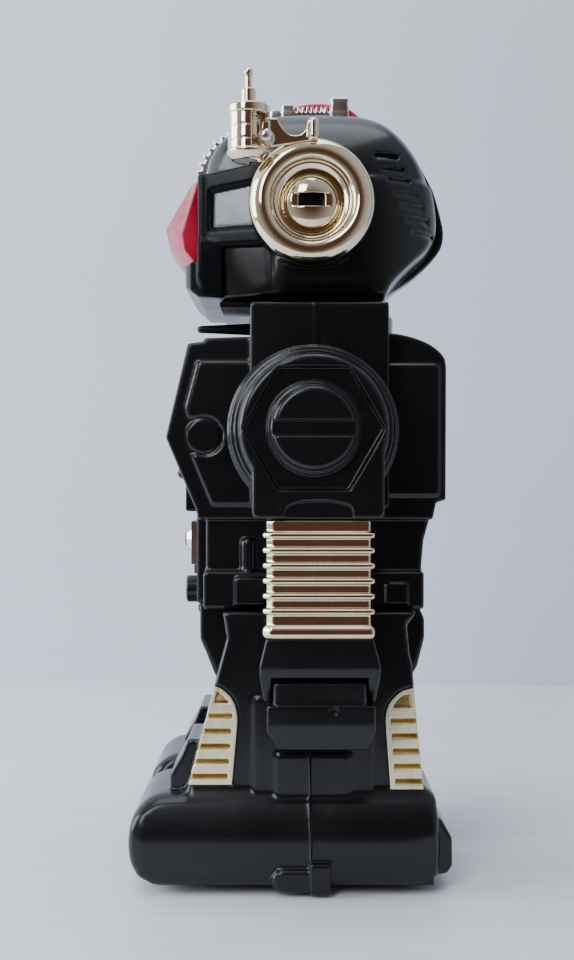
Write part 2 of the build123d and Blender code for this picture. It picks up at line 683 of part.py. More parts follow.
def build_wheels():
    for part, name in zip(axle_set(), ("axle", "wheels", "tyres")):
        save(part, f"drive_{name}")
        save(mirror(part, about=Plane.YZ), f"free_{name}")


# ---------------------------------------------------------------- head
HELMET_BACK = [(38.5, 298.0), (53.9, 281.0), (62.6, 258.5), (62.2, 246.8), (49.8, 234.0), (38.0, 226.6)]
HEAD_LOW = HEAD_BOTTOM + 2.2
FACE_SEAM_Y = -27.0
FOREHEAD_Y = -36.6
CROWN = 302.0
CREST_HALF, LENS_HALF, LENS_SEAT, TOP = 6.5, 5.2, 303.0, 309.4


def helmet_outline(x):
    """Side view of the helmet: dome, rounded back and the tuck above the neck."""
    with BuildSketch(Plane.YZ.offset(x)) as face:
        with BuildLine():
            Polyline((38.0, 226.6), (36.0, HEAD_LOW), (FACE_SEAM_Y, HEAD_LOW), (FACE_SEAM_Y, 270.6),
                     (FOREHEAD_Y, 271.0))
            Line((FOREHEAD_Y, 271.0), (-36.4, 280.0))
            Spline(
                (-36.4, 280.0), (-25.6, 293.0), (-6.0, 300.6), (14.0, CROWN + 0.4), *HELMET_BACK,
                tangents=[(0.15, 1.0), (-0.75, -0.6)],
            )
        make_face()
    return face.sketch


def helmet_form():
    """Side view, front view and top view outlines cut against each other."""
    back_r, back = 34.0, 64.0
    corner = cos(radians(45))
    with BuildPart() as form:
        extrude(helmet_outline(-HELMET_HALF), amount=2 * HELMET_HALF)
        with BuildSketch(Plane.XZ.offset(60)) as front_view:
            with BuildLine():
                Polyline((0, HEAD_LOW - 1), (38.0, HEAD_LOW - 1), (HELMET_HALF, 230.0), (HELMET_HALF, 258.0))
                Spline(
                    (HELMET_HALF, 258.0), (44.6, 278.0), (30.0, 294.0), (0, CROWN),
                    tangents=[(0, 1), (-1, 0)],
                )
                Line((0, CROWN), (0, HEAD_LOW - 1))
            make_face()
            mirror(about=Plane.YZ)
        extrude(front_view.sketch, amount=-140, mode=Mode.INTERSECT)
        with BuildSketch(Plane.XY.offset(HEAD_LOW - 2)) as top_view:
            with BuildLine():
                side, rear = HELMET_HALF - back_r, back - back_r
                Polyline((0, -60.0), (HELMET_HALF, -60.0), (HELMET_HALF, rear))
                ThreePointArc(
                    (HELMET_HALF, rear), (side + back_r * corner, rear + back_r * corner), (side, back)
                )
                Polyline((side, back), (0, back), (0, -60.0))
            make_face()
            mirror(about=Plane.YZ)
        extrude(top_view.sketch, amount=100, mode=Mode.INTERSECT)
    return form.part


def build_helmet(form):
    share = (0.95, 0.95, 0.945)
    middle = (0, 14.0, 262.0)
    shift = [(1 - part) * centre for part, centre in zip(share, middle)]
    room = Pos(*shift) * scale(form, by=share, mode=Mode.PRIVATE)
    with BuildPart() as helmet:
        add(form)
        add(room, mode=Mode.SUBTRACT)
        block((-35.5, 35.5), (-40.0, 32.0), (HEAD_LOW - 2, HEAD_LOW + 4), Mode.SUBTRACT)
        block((-38.0, 38.0), (-60.0, -20.0), (HEAD_LOW - 2, 266.0), Mode.SUBTRACT)
        for side in (1, -1):
            x = sorted((side * 30.0, side * 60.0))
            bar_x(x, EAR_Y, EAR_Z, 8.0, Mode.SUBTRACT)
        for row in range(7):
            z = 252.0 + 5.5 * row
            for side in (1, -1):
                x = sorted((side * 6.0, side * 34.0))
                block(x, (36.0, 70.0), (z, z + 2.0), Mode.SUBTRACT)
    save(helmet.part, "helmet")


CHIN = [(-35.4, 238.0), (-40.9, 237.2), (-40.8, 228.0), (-36.0, 222.8), (-27.0, 222.6), (-27.0, 238.0)]


def build_face():
    """Face block with the visor's opening, the chin below it and the side windows."""
    with BuildPart() as face_frame:
        block((-FACE_HALF, FACE_HALF), (-35.4, FACE_SEAM_Y - SEAT), (222.6, 270.2))
        fillet(face_frame.edges().filter_by(Axis.Z), 2.0)
        prism(CHIN, (-36.0, 36.0))
        block((-34.0, 34.0), (-36.0, -20.0), (239.6, 268.6), Mode.SUBTRACT)
        for side in (1, -1):
            x = sorted((side * (FACE_HALF - 1.6), side * (FACE_HALF + 2)))
            block(x, (-33.0, -26.0), (247.0, 263.6), Mode.SUBTRACT)
    save(face_frame.part, "face_frame")

    with BuildPart() as side_windows:
        for side in (1, -1):
            x = sorted((side * (FACE_HALF - 1.6), side * (FACE_HALF - 0.6)))
            block(x, (-32.9, FACE_SEAM_Y - SEAT), (247.1, 263.5))
    save(side_windows.part, "side_windows")


VISOR = [(-35.4, 270.0), (-40.0, 269.4), (-50.2, 252.6), (-43.4, 238.4), (-35.4, 238.2)]


def build_visor():
    """Faceted wrap-round visor, hollow behind."""
    inner = [(-30.0, 268.0), (-38.8, 267.4), (-47.6, 252.6), (-42.0, 240.4), (-30.0, 240.2)]
    with BuildPart() as visor:
        prism(VISOR, (-38.0, 38.0))
        for side in (1, -1):
            with BuildSketch(Plane.XY.offset(230)) as bevel:
                with BuildLine():
                    Polyline((side * 22.0, -51.0), (side * 39.0, -51.0), (side * 39.0, -37.0), close=True)
                make_face()
            extrude(bevel.sketch, amount=50, mode=Mode.SUBTRACT)
        prism(inner, (-20.0, 20.0), Mode.SUBTRACT)
    save(visor.part, "visor")

    with BuildPart() as eye_lamp:
        bar((0, -39.0, 254.0), (0, -26.0, 254.0), 2.6)
        bar((0, -26.0, 254.0), (0, -14.0, 254.0), 5.0)
        block((-5, 5), (-18.0, -12.0), (HEAD_LOW, 254.0))
    save(eye_lamp.part, "eye_lamp")


def build_crest(form):
    """Bright strip over forehead and crown with two brackets, and the red lens between them."""
    with BuildPart() as crest_strip:
        band = [(-38.6, 279.4), (-37.4, 285.4), (-27.2, 295.4), (-7.0, 302.6), (-7.0, 290.0), (-30.0, 275.0)]
        prism(band, (-CREST_HALF, CREST_HALF))
        steps = (((-9.3, -5.6), 305.0), ((-5.6, -0.6), 306.6), ((-0.6, 16.9), 304.2), ((16.9, 24.4), TOP))
        for y, top in steps:
            block((-CREST_HALF, CREST_HALF), y, (294.0, top))
        add(form, mode=Mode.SUBTRACT)
        block((-LENS_HALF, LENS_HALF), (-0.6, 24.4), (LENS_SEAT, 307.6), Mode.SUBTRACT)
    save(crest_strip.part, "crest_strip")

    with BuildPart() as crest_lens:
        lens = [(-0.5, 303.0), (-0.5, 305.2), (5.0, 306.8), (10.6, 307.3), (17.0, 306.9), (24.3, 305.0),
                (30.2, 301.4), (30.2, 294.0), (-0.5, 294.0)]
        prism(lens, (-LENS_HALF + SEAT, LENS_HALF - SEAT))
        add(form, mode=Mode.SUBTRACT)
        block((-9, 9), (-0.6, 24.4), (290.0, LENS_SEAT + 0.05), Mode.SUBTRACT)
    save(crest_lens.part, "crest_lens")


def ear_ring():
    """Dished ring seen end-on: rounded rim, then a cone falling to the middle."""
    with BuildPart() as ring:
        with BuildSketch(Plane.XY):
            with BuildLine():
                Polyline((62.5, 16.0), (60.8, 14.6), (60.0, 13.8), (54.0, 11.7), (54.0, 10.7), (48.1, 10.7),
                         (48.1, 21.6), (50.0, EAR_R), (57.0, EAR_R), (61.4, 21.2))
                ThreePointArc((61.4, 21.2), (63.6, 18.4), (62.5, 16.0))
            make_face()
        revolve(axis=Axis.X)
    return Pos(0, EAR_Y, EAR_Z) * ring.part


def ear_cap():
    with BuildPart() as cap:
        bar_x((45.4, 59.0), EAR_Y, EAR_Z, 7.7)
        bar_x((54.4, 59.0), EAR_Y, EAR_Z, 10.2)
        with BuildSketch(Plane.XY):
            with BuildLine():
                ThreePointArc((59.0, 10.2), (61.8, 5.6), (62.8, 0.0))
                Polyline((62.8, 0.0), (58.5, 0.0), (58.5, 10.2), (59.0, 10.2))
            make_face()
        dome = revolve(axis=Axis.X, mode=Mode.PRIVATE)
        add(Pos(0, EAR_Y, EAR_Z) * dome)
        block((61.2, 70), (EAR_Y - 12, EAR_Y + 12), (EAR_Z - 2.4, EAR_Z + 2.4), Mode.SUBTRACT)
        block((56.0, 70), (EAR_Y - 4.85, EAR_Y + 4.85), (EAR_Z - 2.15, EAR_Z + 2.15), Mode.SUBTRACT)
    return cap.part


def build_ears():
    ring, cap = ear_ring(), ear_cap()
    with BuildPart() as ear_rings:
        both_sides(ring)
    save(ear_rings.part, "ear_rings")
    with BuildPart() as ear_caps:
        both_sides(cap)
    save(ear_caps.part, "ear_caps")


def build_head_base():
    """Floor of the head with the hollow spindle that turns in the collar, and its retaining ring."""
    with BuildPart() as head_base:
        block((-38.0, 38.0), (FACE_SEAM_Y, 36.0), (HEAD_BOTTOM, HEAD_LOW))
        bar((0, NECK_Y, 197.0), (0, NECK_Y, HEAD_LOW), SPINDLE_R)
        bar((0, NECK_Y, 190.0), (0, NECK_Y, 230.0), SPINDLE_R - 2.4, Mode.SUBTRACT)
        for x in (-28.0, 28.0):
            bar((x, 5.0, 210), (x, 5.0, 230), SCREW_R + SEAT, Mode.SUBTRACT)
    save(head_base.part, "head_base")

    with BuildPart() as neck_retainer:
        bar((0, NECK_Y, 200.0), (0, NECK_Y, CHEST_TOP - WALL - GAP), SPINDLE_R + 5)
        bar((0, NECK_Y, 190.0), (0, NECK_Y, 230.0), SPINDLE_R + 0.02, Mode.SUBTRACT)
    save(neck_retainer.part, "neck_retainer")

    with BuildPart() as head_screws:
        for x in (-28.0, 28.0):
            bar((x, 5.0, HEAD_BOTTOM + 0.2), (x, 5.0, 226.0), SCREW_R)
    save(head_screws.part, "head_screws")


# ---------------------------------------------------------------- antenna
BARREL_R, BARREL_Z, ANTENNA_TOP = 7.9, (268.0, 288.0), 302.4
BRACKET_X = (61.4, 64.2)
PIN_R, BALL_R, TAB_R = 1.0, 2.8, 3.0
EAR_RELIEF = 2.8  # the barrel's inner side is cut back by this much so that it clears the ear when it tilts


def build_antenna(form):
    """Bracket on the left ear, and the antenna that tilts on a ball-headed pin through the bracket's tab."""
    with BuildPart() as antenna_bracket:
        points = [(HINGE_Y, 274.4), (HINGE_Y, 280.2), (-8.0, 284.4), (-4.2, 284.4)]
        scallop_low, post_y = 280.2, (5.2, 10.4)
        with BuildSketch(Plane.YZ.offset(BRACKET_X[0])) as side_view:
            with BuildLine():
                Polyline(points)
                ThreePointArc((-4.2, 284.4), (-3.0, 281.4), (-0.4, scallop_low))
                Line((-0.4, scallop_low), (2.6, scallop_low))
                ThreePointArc((2.6, scallop_low), (4.4, 281.6), (post_y[0], 284.6))
                Polyline((post_y[0], 284.6), (post_y[1], 284.6), (post_y[1], 277.4), (HINGE_Y, 274.4))
            make_face()
        extrude(side_view.sketch, amount=BRACKET_X[1] - BRACKET_X[0])
        bar_x(BRACKET_X, HINGE_Y, HINGE_Z, TAB_R)
        block((40.0, BRACKET_X[0]), post_y, (277.4, 284.6))
        add(form, mode=Mode.SUBTRACT)
        bar_x((48.0, 70.0), EAR_Y, EAR_Z, EAR_R + SEAT, Mode.SUBTRACT)
        bar_x((50, 80), HINGE_Y, HINGE_Z, PIN_R + RUNNING, Mode.SUBTRACT)
    save(antenna_bracket.part, "antenna_bracket")

    with BuildPart() as antenna:
        bar((ANTENNA_X, ANTENNA_Y, BARREL_Z[0]), (ANTENNA_X, ANTENNA_Y, BARREL_Z[1]), BARREL_R)
        chamfer(antenna.edges().sort_by(Axis.Z)[0], 2.6)
        window_y = HINGE_Y - TAB_R - 1.8
        block((BRACKET_X[0] - GAP, ANTENNA_X + 20), (window_y, 0), (272.6, 284.4), Mode.SUBTRACT)
        block((BRACKET_X[0] - GAP, BRACKET_X[1] + GAP), (window_y, 0), (260, 284.4), Mode.SUBTRACT)
        collar_top, tip_r = 294.6, 1.7
        bar((ANTENNA_X, ANTENNA_Y, BARREL_Z[1]), (ANTENNA_X, ANTENNA_Y, collar_top), 2.4)
        bar((ANTENNA_X, ANTENNA_Y, collar_top), (ANTENNA_X, ANTENNA_Y, ANTENNA_TOP - tip_r), 0.9)
        with Locations((ANTENNA_X, ANTENNA_Y, ANTENNA_TOP - tip_r)):
            Sphere(tip_r)
        bar_x((50, 80), HINGE_Y, HINGE_Z, PIN_R, Mode.SUBTRACT)
        bar_x((50, ANTENNA_X - 0.6), EAR_Y, EAR_Z, EAR_R + EAR_RELIEF, Mode.SUBTRACT)
    save(antenna.part, "antenna")

    with BuildPart() as antenna_pin:
        bar_x((BRACKET_X[0] - 3.0, BRACKET_X[1] + 1.6), HINGE_Y, HINGE_Z, PIN_R)
        with Locations((BRACKET_X[1] + BALL_R, HINGE_Y, HINGE_Z)):
            Sphere(BALL_R)
    save(antenna_pin.part, "antenna_pin")


# ---------------------------------------------------------------- arms
DISC_R = 30.0
UPPER_Y, UPPER_LOW = (-13.3, 33.3), 138.0
BELLOWS_Y, BELLOWS_Z, BELLOWS_X = (-9.0, 29.4), (96.0, UPPER_LOW), (62.4, 81.0)
RIB_PITCH, RIB_PROUD, RIB_T = 5.37, 1.4, 2.2
FOOT_RIB_T, FIRST_RIB_Z = 5.0, 104.6  # the lowest rib is thicker; the next one starts at this height
FORK = [(-8.4, 96.0), (-10.5, 85.8), (-10.5, 73.0), (-6.2, 73.0), (-6.2, 82.4), (27.6, 82.4), (27.6, 73.0),
        (31.9, 73.0), (31.9, 85.8), (29.5, 96.0)]
FORK_X = (GRIP_X - 8.5, GRIP_X + 8.5)
HAND_Y, HAND_HALF = (-6.2 + GAP, 27.6 - GAP), 7.5
STUD_R = 1.6


def build_upper_arm():
    """Shoulder disc with the square upper arm hanging from it: an outer and an inner moulding."""
    mid_x = ARM_X[0] + 6.0
    with BuildPart() as upper_arm:
        bar_x((mid_x, ARM_X[1] - 1.6), SHOULDER_Y, SHOULDER_Z, DISC_R)
        rounded_panel((mid_x, ARM_X[1]), UPPER_Y, (UPPER_LOW, SHOULDER_Z), 3.0)
        bar_x((mid_x, ARM_X[1]), SHOULDER_Y, SHOULDER_Z, DISC_R - 3.6)
        with BuildSketch(Plane.YZ.offset(ARM_X[1] - 1.2)) as recess:
            with Locations((SHOULDER_Y, SHOULDER_Z)):
                RegularPolygon(24.6, 6)
                Circle(16.2, mode=Mode.SUBTRACT)
        extrude(recess.sketch, amount=3, mode=Mode.SUBTRACT)
        bar_x((mid_x - 1, ARM_X[1] - 3.0), SHOULDER_Y, SHOULDER_Z, DISC_R - 2.4, Mode.SUBTRACT)
        block(
            (mid_x - 1, ARM_X[1] - 3.0), (UPPER_Y[0] + WALL, UPPER_Y[1] - WALL),
            (UPPER_LOW + WALL, SHOULDER_Z), Mode.SUBTRACT,
        )
        bar_x((ARM_X[1] - 4, ARM_X[1] + 1), SHOULDER_Y, SHOULDER_Z, 13.0 + SEAT, Mode.SUBTRACT)
    save_pair(upper_arm.part, "upper_arm")

    with BuildPart() as arm_inner:
        bar_x((ARM_X[0], mid_x), SHOULDER_Y, SHOULDER_Z, DISC_R)
        bar_x((ARM_X[0], ARM_X[0] + 3.0), SHOULDER_Y, SHOULDER_Z, DISC_R + 1.6)
        rounded_panel((ARM_X[0], mid_x), UPPER_Y, (UPPER_LOW, SHOULDER_Z), 3.0)
        bar_x((ARM_X[0] + 2, mid_x + 1), SHOULDER_Y, SHOULDER_Z, DISC_R - 2.4, Mode.SUBTRACT)
        block(
            (ARM_X[0] + 2, mid_x + 1), (UPPER_Y[0] + WALL, UPPER_Y[1] - WALL),
            (UPPER_LOW + WALL, SHOULDER_Z), Mode.SUBTRACT,
        )
        bar_x((46.0, ARM_X[1] - 3.1), SHOULDER_Y, SHOULDER_Z, STUB_R)
    save_pair(arm_inner.part, "arm_inner")

    with BuildPart() as shoulder_cap:
        bar_x((ARM_X[1] - 3.0, ARM_X[1]), SHOULDER_Y, SHOULDER_Z, 13.0)
        bar_x((ARM_X[1], ARM_X[1] + 3.4), SHOULDER_Y, SHOULDER_Z, 15.6)
        fillet(shoulder_cap.edges().sort_by(Axis.X)[-1], 2.6)
        slot_y = (SHOULDER_Y - 14.7, SHOULDER_Y + 14.7)
        slot_z = (SHOULDER_Z - 2.8, SHOULDER_Z + 2.8)
        block((ARM_X[1] + 2.2, 90), slot_y, slot_z, Mode.SUBTRACT)
    save_pair(shoulder_cap.part, "shoulder_cap")


def build_bellows():
    """Ribbed forearm sleeve; the ribs run right round it."""
    with BuildPart() as bellows:
        block(BELLOWS_X, BELLOWS_Y, BELLOWS_Z)
        fillet(bellows.edges().filter_by(Axis.Z), 2.0)
        for row in range(7):
            low = BELLOWS_Z[0] if row == 0 else FIRST_RIB_Z + RIB_PITCH * (row - 1)
            thick = FOOT_RIB_T if row == 0 else RIB_T
            with BuildSketch(Plane.XY.offset(low)) as rib:
                with Locations((sum(BELLOWS_X) / 2, sum(BELLOWS_Y) / 2)):
                    RectangleRounded(
                        BELLOWS_X[1] - BELLOWS_X[0] + 2 * RIB_PROUD,
                        BELLOWS_Y[1] - BELLOWS_Y[0] + 2 * RIB_PROUD,
                        3.0,
                    )
            extrude(rib.sketch, amount=thick)
        block(
            (BELLOWS_X[0] + 2, BELLOWS_X[1] - 2), (BELLOWS_Y[0] + 2, BELLOWS_Y[1] - 2),
            (BELLOWS_Z[0] + 2, BELLOWS_Z[1] + 1), Mode.SUBTRACT,
        )
    save_pair(bellows.part, "bellows")


def build_fork_and_hand():
    """Wrist fork, and the hand that swings outwards on its own moulded stubs."""
    prong_low = FORK[2][1]
    with BuildPart() as fork:
        prism(FORK, FORK_X)
        with BuildSketch(Plane.XZ.offset(20)) as outer_cut:
            with BuildLine():
                Polyline(
                    (GRIP_X + 1.9, prong_low),
                    (FORK_X[1] + 0.1, prong_low + 11.4),
                    (FORK_X[1] + 9, prong_low),
                    (GRIP_X + 1.9, prong_low - 1),
                    close=True,
                )
            make_face()
        extrude(outer_cut.sketch, amount=-60, mode=Mode.SUBTRACT)
        bar((GRIP_X, -20, GRIP_Z), (GRIP_X, 40, GRIP_Z), STUD_R + RUNNING, Mode.SUBTRACT)
    save_pair(fork.part, "fork")

    neck_half, shoulder_z = 5.2, GRIP_Z - 4.4
    with BuildPart() as hand:
        block((GRIP_X - neck_half, GRIP_X + neck_half), HAND_Y, (shoulder_z - 1, GRIP_Z - 1))
        bar((GRIP_X, HAND_Y[0], GRIP_Z - 1), (GRIP_X, HAND_Y[1], GRIP_Z - 1), neck_half)
        palm = [
            (-8.4, shoulder_z),
            (-8.4, 62.6),
            (-3.5, 55.8),
            (28.1, 55.8),
            (30.5, 62.6),
            (30.5, shoulder_z),
        ]
        prism(palm, (GRIP_X - HAND_HALF, GRIP_X + HAND_HALF))
        bar((GRIP_X, HAND_Y[0] - 3.6, GRIP_Z), (GRIP_X, HAND_Y[1] + 3.6, GRIP_Z), STUD_R)
        bar((GRIP_X + HAND_HALF - 2, 15.8, 68.6), (GRIP_X + HAND_HALF + 1, 15.8, 68.6), 1.3, Mode.SUBTRACT)
    save_pair(hand.part, "hand")


if __name__ == "__main__":
    os.makedirs("parts", exist_ok=True)
    build_torso()
    build_neck_collar()
    build_control_lever()
    build_buttons()
    build_waist_trim()
    build_battery()
    build_electrics()
    build_legs()
    build_vents()
    build_soles()
    build_gears()
    build_gearbox()
    build_wheels()
    head_form = helmet_form()
    build_helmet(head_form)
    build_face()
    build_visor()
    build_crest(head_form)
    build_ears()
    build_head_base()
    build_antenna(head_form)
    build_upper_arm()
    build_bellows()
    build_fork_and_hand()
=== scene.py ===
"""Looks of the toy robot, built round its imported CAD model. Lengths are in metres."""

import itertools
import json
import math

import bmesh
import bpy
import numpy as np
from mathutils import Matrix, Vector


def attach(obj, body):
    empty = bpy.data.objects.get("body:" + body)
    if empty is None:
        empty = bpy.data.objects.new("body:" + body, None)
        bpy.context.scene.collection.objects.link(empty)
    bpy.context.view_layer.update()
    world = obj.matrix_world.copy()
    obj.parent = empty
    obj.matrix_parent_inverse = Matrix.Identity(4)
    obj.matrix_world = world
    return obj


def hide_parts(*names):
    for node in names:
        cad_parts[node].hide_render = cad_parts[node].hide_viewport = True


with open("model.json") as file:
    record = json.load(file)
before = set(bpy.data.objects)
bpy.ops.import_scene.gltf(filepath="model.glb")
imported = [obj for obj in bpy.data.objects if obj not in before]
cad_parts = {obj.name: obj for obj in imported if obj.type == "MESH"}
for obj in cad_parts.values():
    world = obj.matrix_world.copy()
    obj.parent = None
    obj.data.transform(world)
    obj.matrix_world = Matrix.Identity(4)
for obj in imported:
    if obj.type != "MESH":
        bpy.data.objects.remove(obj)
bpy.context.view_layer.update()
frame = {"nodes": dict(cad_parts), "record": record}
MM = 0.001


# ---------------------------------------------------------------- camera, stage and light
def make_camera():
    """Level camera on the robot's left side, at the height of its chest."""
    data = bpy.data.cameras.new("side_camera")
    data.sensor_width = 36.0
    data.lens = 46.875
    camera = bpy.data.objects.new("side_camera", data)
    camera.location = (0.520, -0.001, 0.152)
    camera.rotation_euler = (math.pi / 2, 0, math.pi / 2)
    bpy.context.scene.collection.objects.link(camera)
    bpy.context.scene.camera = camera


def area_light(name, place, aim, size, power, colour):
    data = bpy.data.lights.new(name, "AREA")
    data.shape = "RECTANGLE"
    data.size, data.size_y = size
    data.energy = power
    data.color = colour
    lamp = bpy.data.objects.new(name, data)
    lamp.location = place
    lamp.rotation_euler = (Vector(aim) - Vector(place)).to_track_quat("-Z", "Y").to_euler()
    bpy.context.scene.collection.objects.link(lamp)


def make_light():
    """Window light from the robot's front and left, soft light from above, and a dim room by the camera."""
    world = bpy.data.worlds.new("studio")
    world.use_nodes = True
    tree = world.node_tree
    direction = tree.nodes.new("ShaderNodeTexCoord").outputs["Generated"]
    split = tree.nodes.new("ShaderNodeSeparateXYZ")
    tree.links.new(direction, split.inputs["Vector"])
    ramp = tree.nodes.new("ShaderNodeValToRGB")
    tree.links.new(split.outputs["X"], ramp.inputs["Fac"])
    ramp.color_ramp.elements[0].color = (0.60, 0.68, 0.84, 1)
    ramp.color_ramp.elements[1].color = (0.10, 0.055, 0.042, 1)
    ramp.color_ramp.elements[1].position = 0.96
    ramp.color_ramp.elements.new(0.6).color = (0.46, 0.44, 0.45, 1)
    tree.links.new(ramp.outputs["Color"], tree.nodes["Background"].inputs["Color"])
    tree.nodes["Background"].inputs["Strength"].default_value = 0.9
    bpy.context.scene.world = world
    aim = (0, 0, 0.16)
    cool = (0.90, 0.95, 1.0)
    area_light("tall_window", (1.05, -0.52, 0.95), (0.04, -0.02, 0.25), (0.4, 1.0), 10.0, cool)
    area_light("side_window", (0.15, -1.3, 0.55), aim, (0.9, 0.9), 20.0, cool)
    area_light("overhead", (-0.05, -0.1, 1.3), aim, (0.9, 0.9), 7.0, cool)


def make_stage():
    """Floor and the wall behind it."""
    wall_x, half, edge_x = -0.40, 3.0, 0.34
    floor = [(wall_x, -half, 0), (edge_x, -half, 0), (edge_x, half, 0), (wall_x, half, 0)]
    wall = [(wall_x, -half, 0), (wall_x, half, 0), (wall_x, half, 2), (wall_x, -half, 2)]
    for name, corners, material in (("floor", floor, floor_material()), ("wall", wall, wall_material())):
        mesh = bpy.data.meshes.new(name)
        mesh.from_pydata(corners, [], [(0, 1, 2, 3)])
        mesh.materials.append(material)
        plane = bpy.data.objects.new(name, mesh)
        bpy.context.scene.collection.objects.link(plane)


# ---------------------------------------------------------------- materials
class Shader:
    """A small node-tree builder round one Principled shader."""

    def __init__(self, name):
        self.material = bpy.data.materials.new(name)
        self.material.use_nodes = True
        self.tree = self.material.node_tree
        self.bsdf = self.tree.nodes["Principled BSDF"]
        self.place = self.node("ShaderNodeTexCoord").outputs["Object"]

    def node(self, kind, **settings):
        made = self.tree.nodes.new(kind)
        for key, value in settings.items():
            setattr(made, key, value)
        return made

    def link(self, output, node, socket):
        self.tree.links.new(output, node.inputs[socket])

    def set(self, **sockets):
        for name, value in sockets.items():
            self.bsdf.inputs[name.replace("_", " ")].default_value = value

    def noise(self, scale, detail=4.0, stretch=(1, 1, 1)):
        mapping = self.node("ShaderNodeMapping")
        mapping.inputs["Scale"].default_value = stretch
        self.link(self.place, mapping, "Vector")
        noise = self.node("ShaderNodeTexNoise")
        noise.inputs["Scale"].default_value = scale
        noise.inputs["Detail"].default_value = detail
        self.link(mapping.outputs["Vector"], noise, "Vector")
        return noise.outputs["Fac"]

    def ramp(self, factor, stops):
        """Colour ramp through (position, colour) stops; a plain number stands for a grey."""
        ramp = self.node("ShaderNodeValToRGB")
        cells = ramp.color_ramp.elements
        while len(cells) < len(stops):
            cells.new(0.5)
        for cell, (position, value) in zip(cells, stops):
            cell.position = position
            cell.color = (value, value, value, 1) if isinstance(value, float) else (*value, 1)
        self.link(factor, ramp, "Fac")
        return ramp.outputs["Color"]

    def mix(self, factor, first, second):
        mixer = self.node("ShaderNodeMix", data_type="RGBA")
        self.link(factor, mixer, 0)
        for value, socket in ((first, 6), (second, 7)):
            if isinstance(value, tuple):
                mixer.inputs[socket].default_value = (*value, 1)
            else:
                self.tree.links.new(value, mixer.inputs[socket])
        return mixer.outputs[2]

    def bump(self, height, distance, strength=1.0, normal=None):
        bump = self.node("ShaderNodeBump")
        bump.inputs["Distance"].default_value = distance
        bump.inputs["Strength"].default_value = strength
        self.link(height, bump, "Height")
        if normal is not None:
            self.link(normal, bump, "Normal")
        return bump.outputs["Normal"]

    def finish(self, colour=None, roughness=None, normal=None):
        for value, socket in ((colour, "Base Color"), (roughness, "Roughness"), (normal, "Normal")):
            if value is not None:
                self.link(value, self.bsdf, socket)
        return self.material


def black_plastic(name, shine):
    """Moulded glossy black plastic with a little dust, faint flow marks and fine scuffs."""
    s = Shader(name)
    s.set(Specular_IOR_Level=shine)
    patches = s.ramp(s.noise(9, 3), [(0.35, 0.0), (0.7, 1.0)])
    tone = s.mix(patches, (0.0042, 0.0048, 0.0060), (0.0068, 0.0078, 0.0095))
    dust = s.ramp(s.noise(140, 9), [(0.62, 0.0), (0.80, 0.10)])
    colour = s.mix(dust, tone, (0.09, 0.095, 0.10))
    roughness = s.ramp(s.noise(30, 7), [(0.3, 0.15), (0.75, 0.27)])
    waves = s.bump(s.noise(34, 2), 0.0004, 0.25)
    normal = s.bump(s.noise(700, 3), 0.00003, 0.35, waves)
    return s.finish(colour, roughness, normal)


def plating(name, dark, light, low, high):
    """Vacuum-plated plastic: mirror metal with slightly cloudy, worn patches."""
    s = Shader(name)
    s.set(Metallic=1.0)
    cloud = s.ramp(s.noise(60, 5), [(0.3, 0.0), (0.7, 1.0)])
    colour = s.mix(cloud, dark, light)
    roughness = s.ramp(s.noise(120, 8), [(0.35, low), (0.8, high)])
    waves = s.bump(s.noise(70, 2), 0.0002, 0.2)
    normal = s.bump(s.noise(1400, 2), 0.00002, 0.3, waves)
    return s.finish(colour, roughness, normal)


def cream_gold():
    """Yellowed cream-gold lacquer with patches of tarnish at random, drawn out upright."""
    s = Shader("cream_gold")
    s.set(Metallic=0.35)
    stains = s.ramp(s.noise(90, 6, (1, 1, 0.5)), [(0.5, 0.0), (0.74, 1.0)])
    colour = s.mix(stains, (0.88, 0.84, 0.60), (0.66, 0.52, 0.22))
    roughness = s.ramp(s.noise(150, 5), [(0.3, 0.22), (0.7, 0.40)])
    return s.finish(colour, roughness, s.bump(s.noise(300, 3), 0.00005, 0.4))


def clear_red():
    """Tinted clear plastic with small moulding flaws."""
    s = Shader("red_clear")
    s.set(IOR=1.45, Transmission_Weight=0.08, Specular_IOR_Level=0.25)
    cloud = s.ramp(s.noise(50, 4), [(0.3, 0.0), (0.7, 1.0)])
    colour = s.mix(cloud, (0.42, 0.008, 0.030), (0.66, 0.028, 0.07))
    roughness = s.ramp(s.noise(160, 4), [(0.35, 0.08), (0.7, 0.2)])
    return s.finish(colour, roughness, s.bump(s.noise(45, 2), 0.0003, 0.3))


def plain_plastic(name, dark, light, low=0.38, high=0.6, grain=500):
    """Satin moulding with a little colour variation."""
    s = Shader(name)
    colour = s.mix(s.ramp(s.noise(40, 5), [(0.3, 0.0), (0.7, 1.0)]), dark, light)
    roughness = s.ramp(s.noise(110, 5), [(0.3, low), (0.7, high)])
    return s.finish(colour, roughness, s.bump(s.noise(grain, 4), 0.00006, 0.4))


def bare_steel():
    s = Shader("steel")
    s.set(Metallic=1.0)
    streaks = s.noise(220, 6, (0.15, 1, 1))
    colour = s.mix(s.ramp(streaks, [(0.3, 0.0), (0.7, 1.0)]), (0.46, 0.46, 0.47), (0.64, 0.64, 0.66))
    roughness = s.ramp(streaks, [(0.3, 0.22), (0.7, 0.42)])
    return s.finish(colour, roughness, s.bump(streaks, 0.00003, 0.4))


def floor_material():
    """Pale washed boards with a faint grain across the picture."""
    s = Shader("pale_floor")
    grain = s.noise(26, 8, (9.0, 0.6, 1))
    colour = s.mix(s.ramp(grain, [(0.35, 0.0), (0.7, 1.0)]), (0.74, 0.75, 0.79), (0.82, 0.83, 0.86))
    roughness = s.ramp(grain, [(0.3, 0.34), (0.7, 0.5)])
    return s.finish(colour, roughness, s.bump(grain, 0.0003, 0.25))


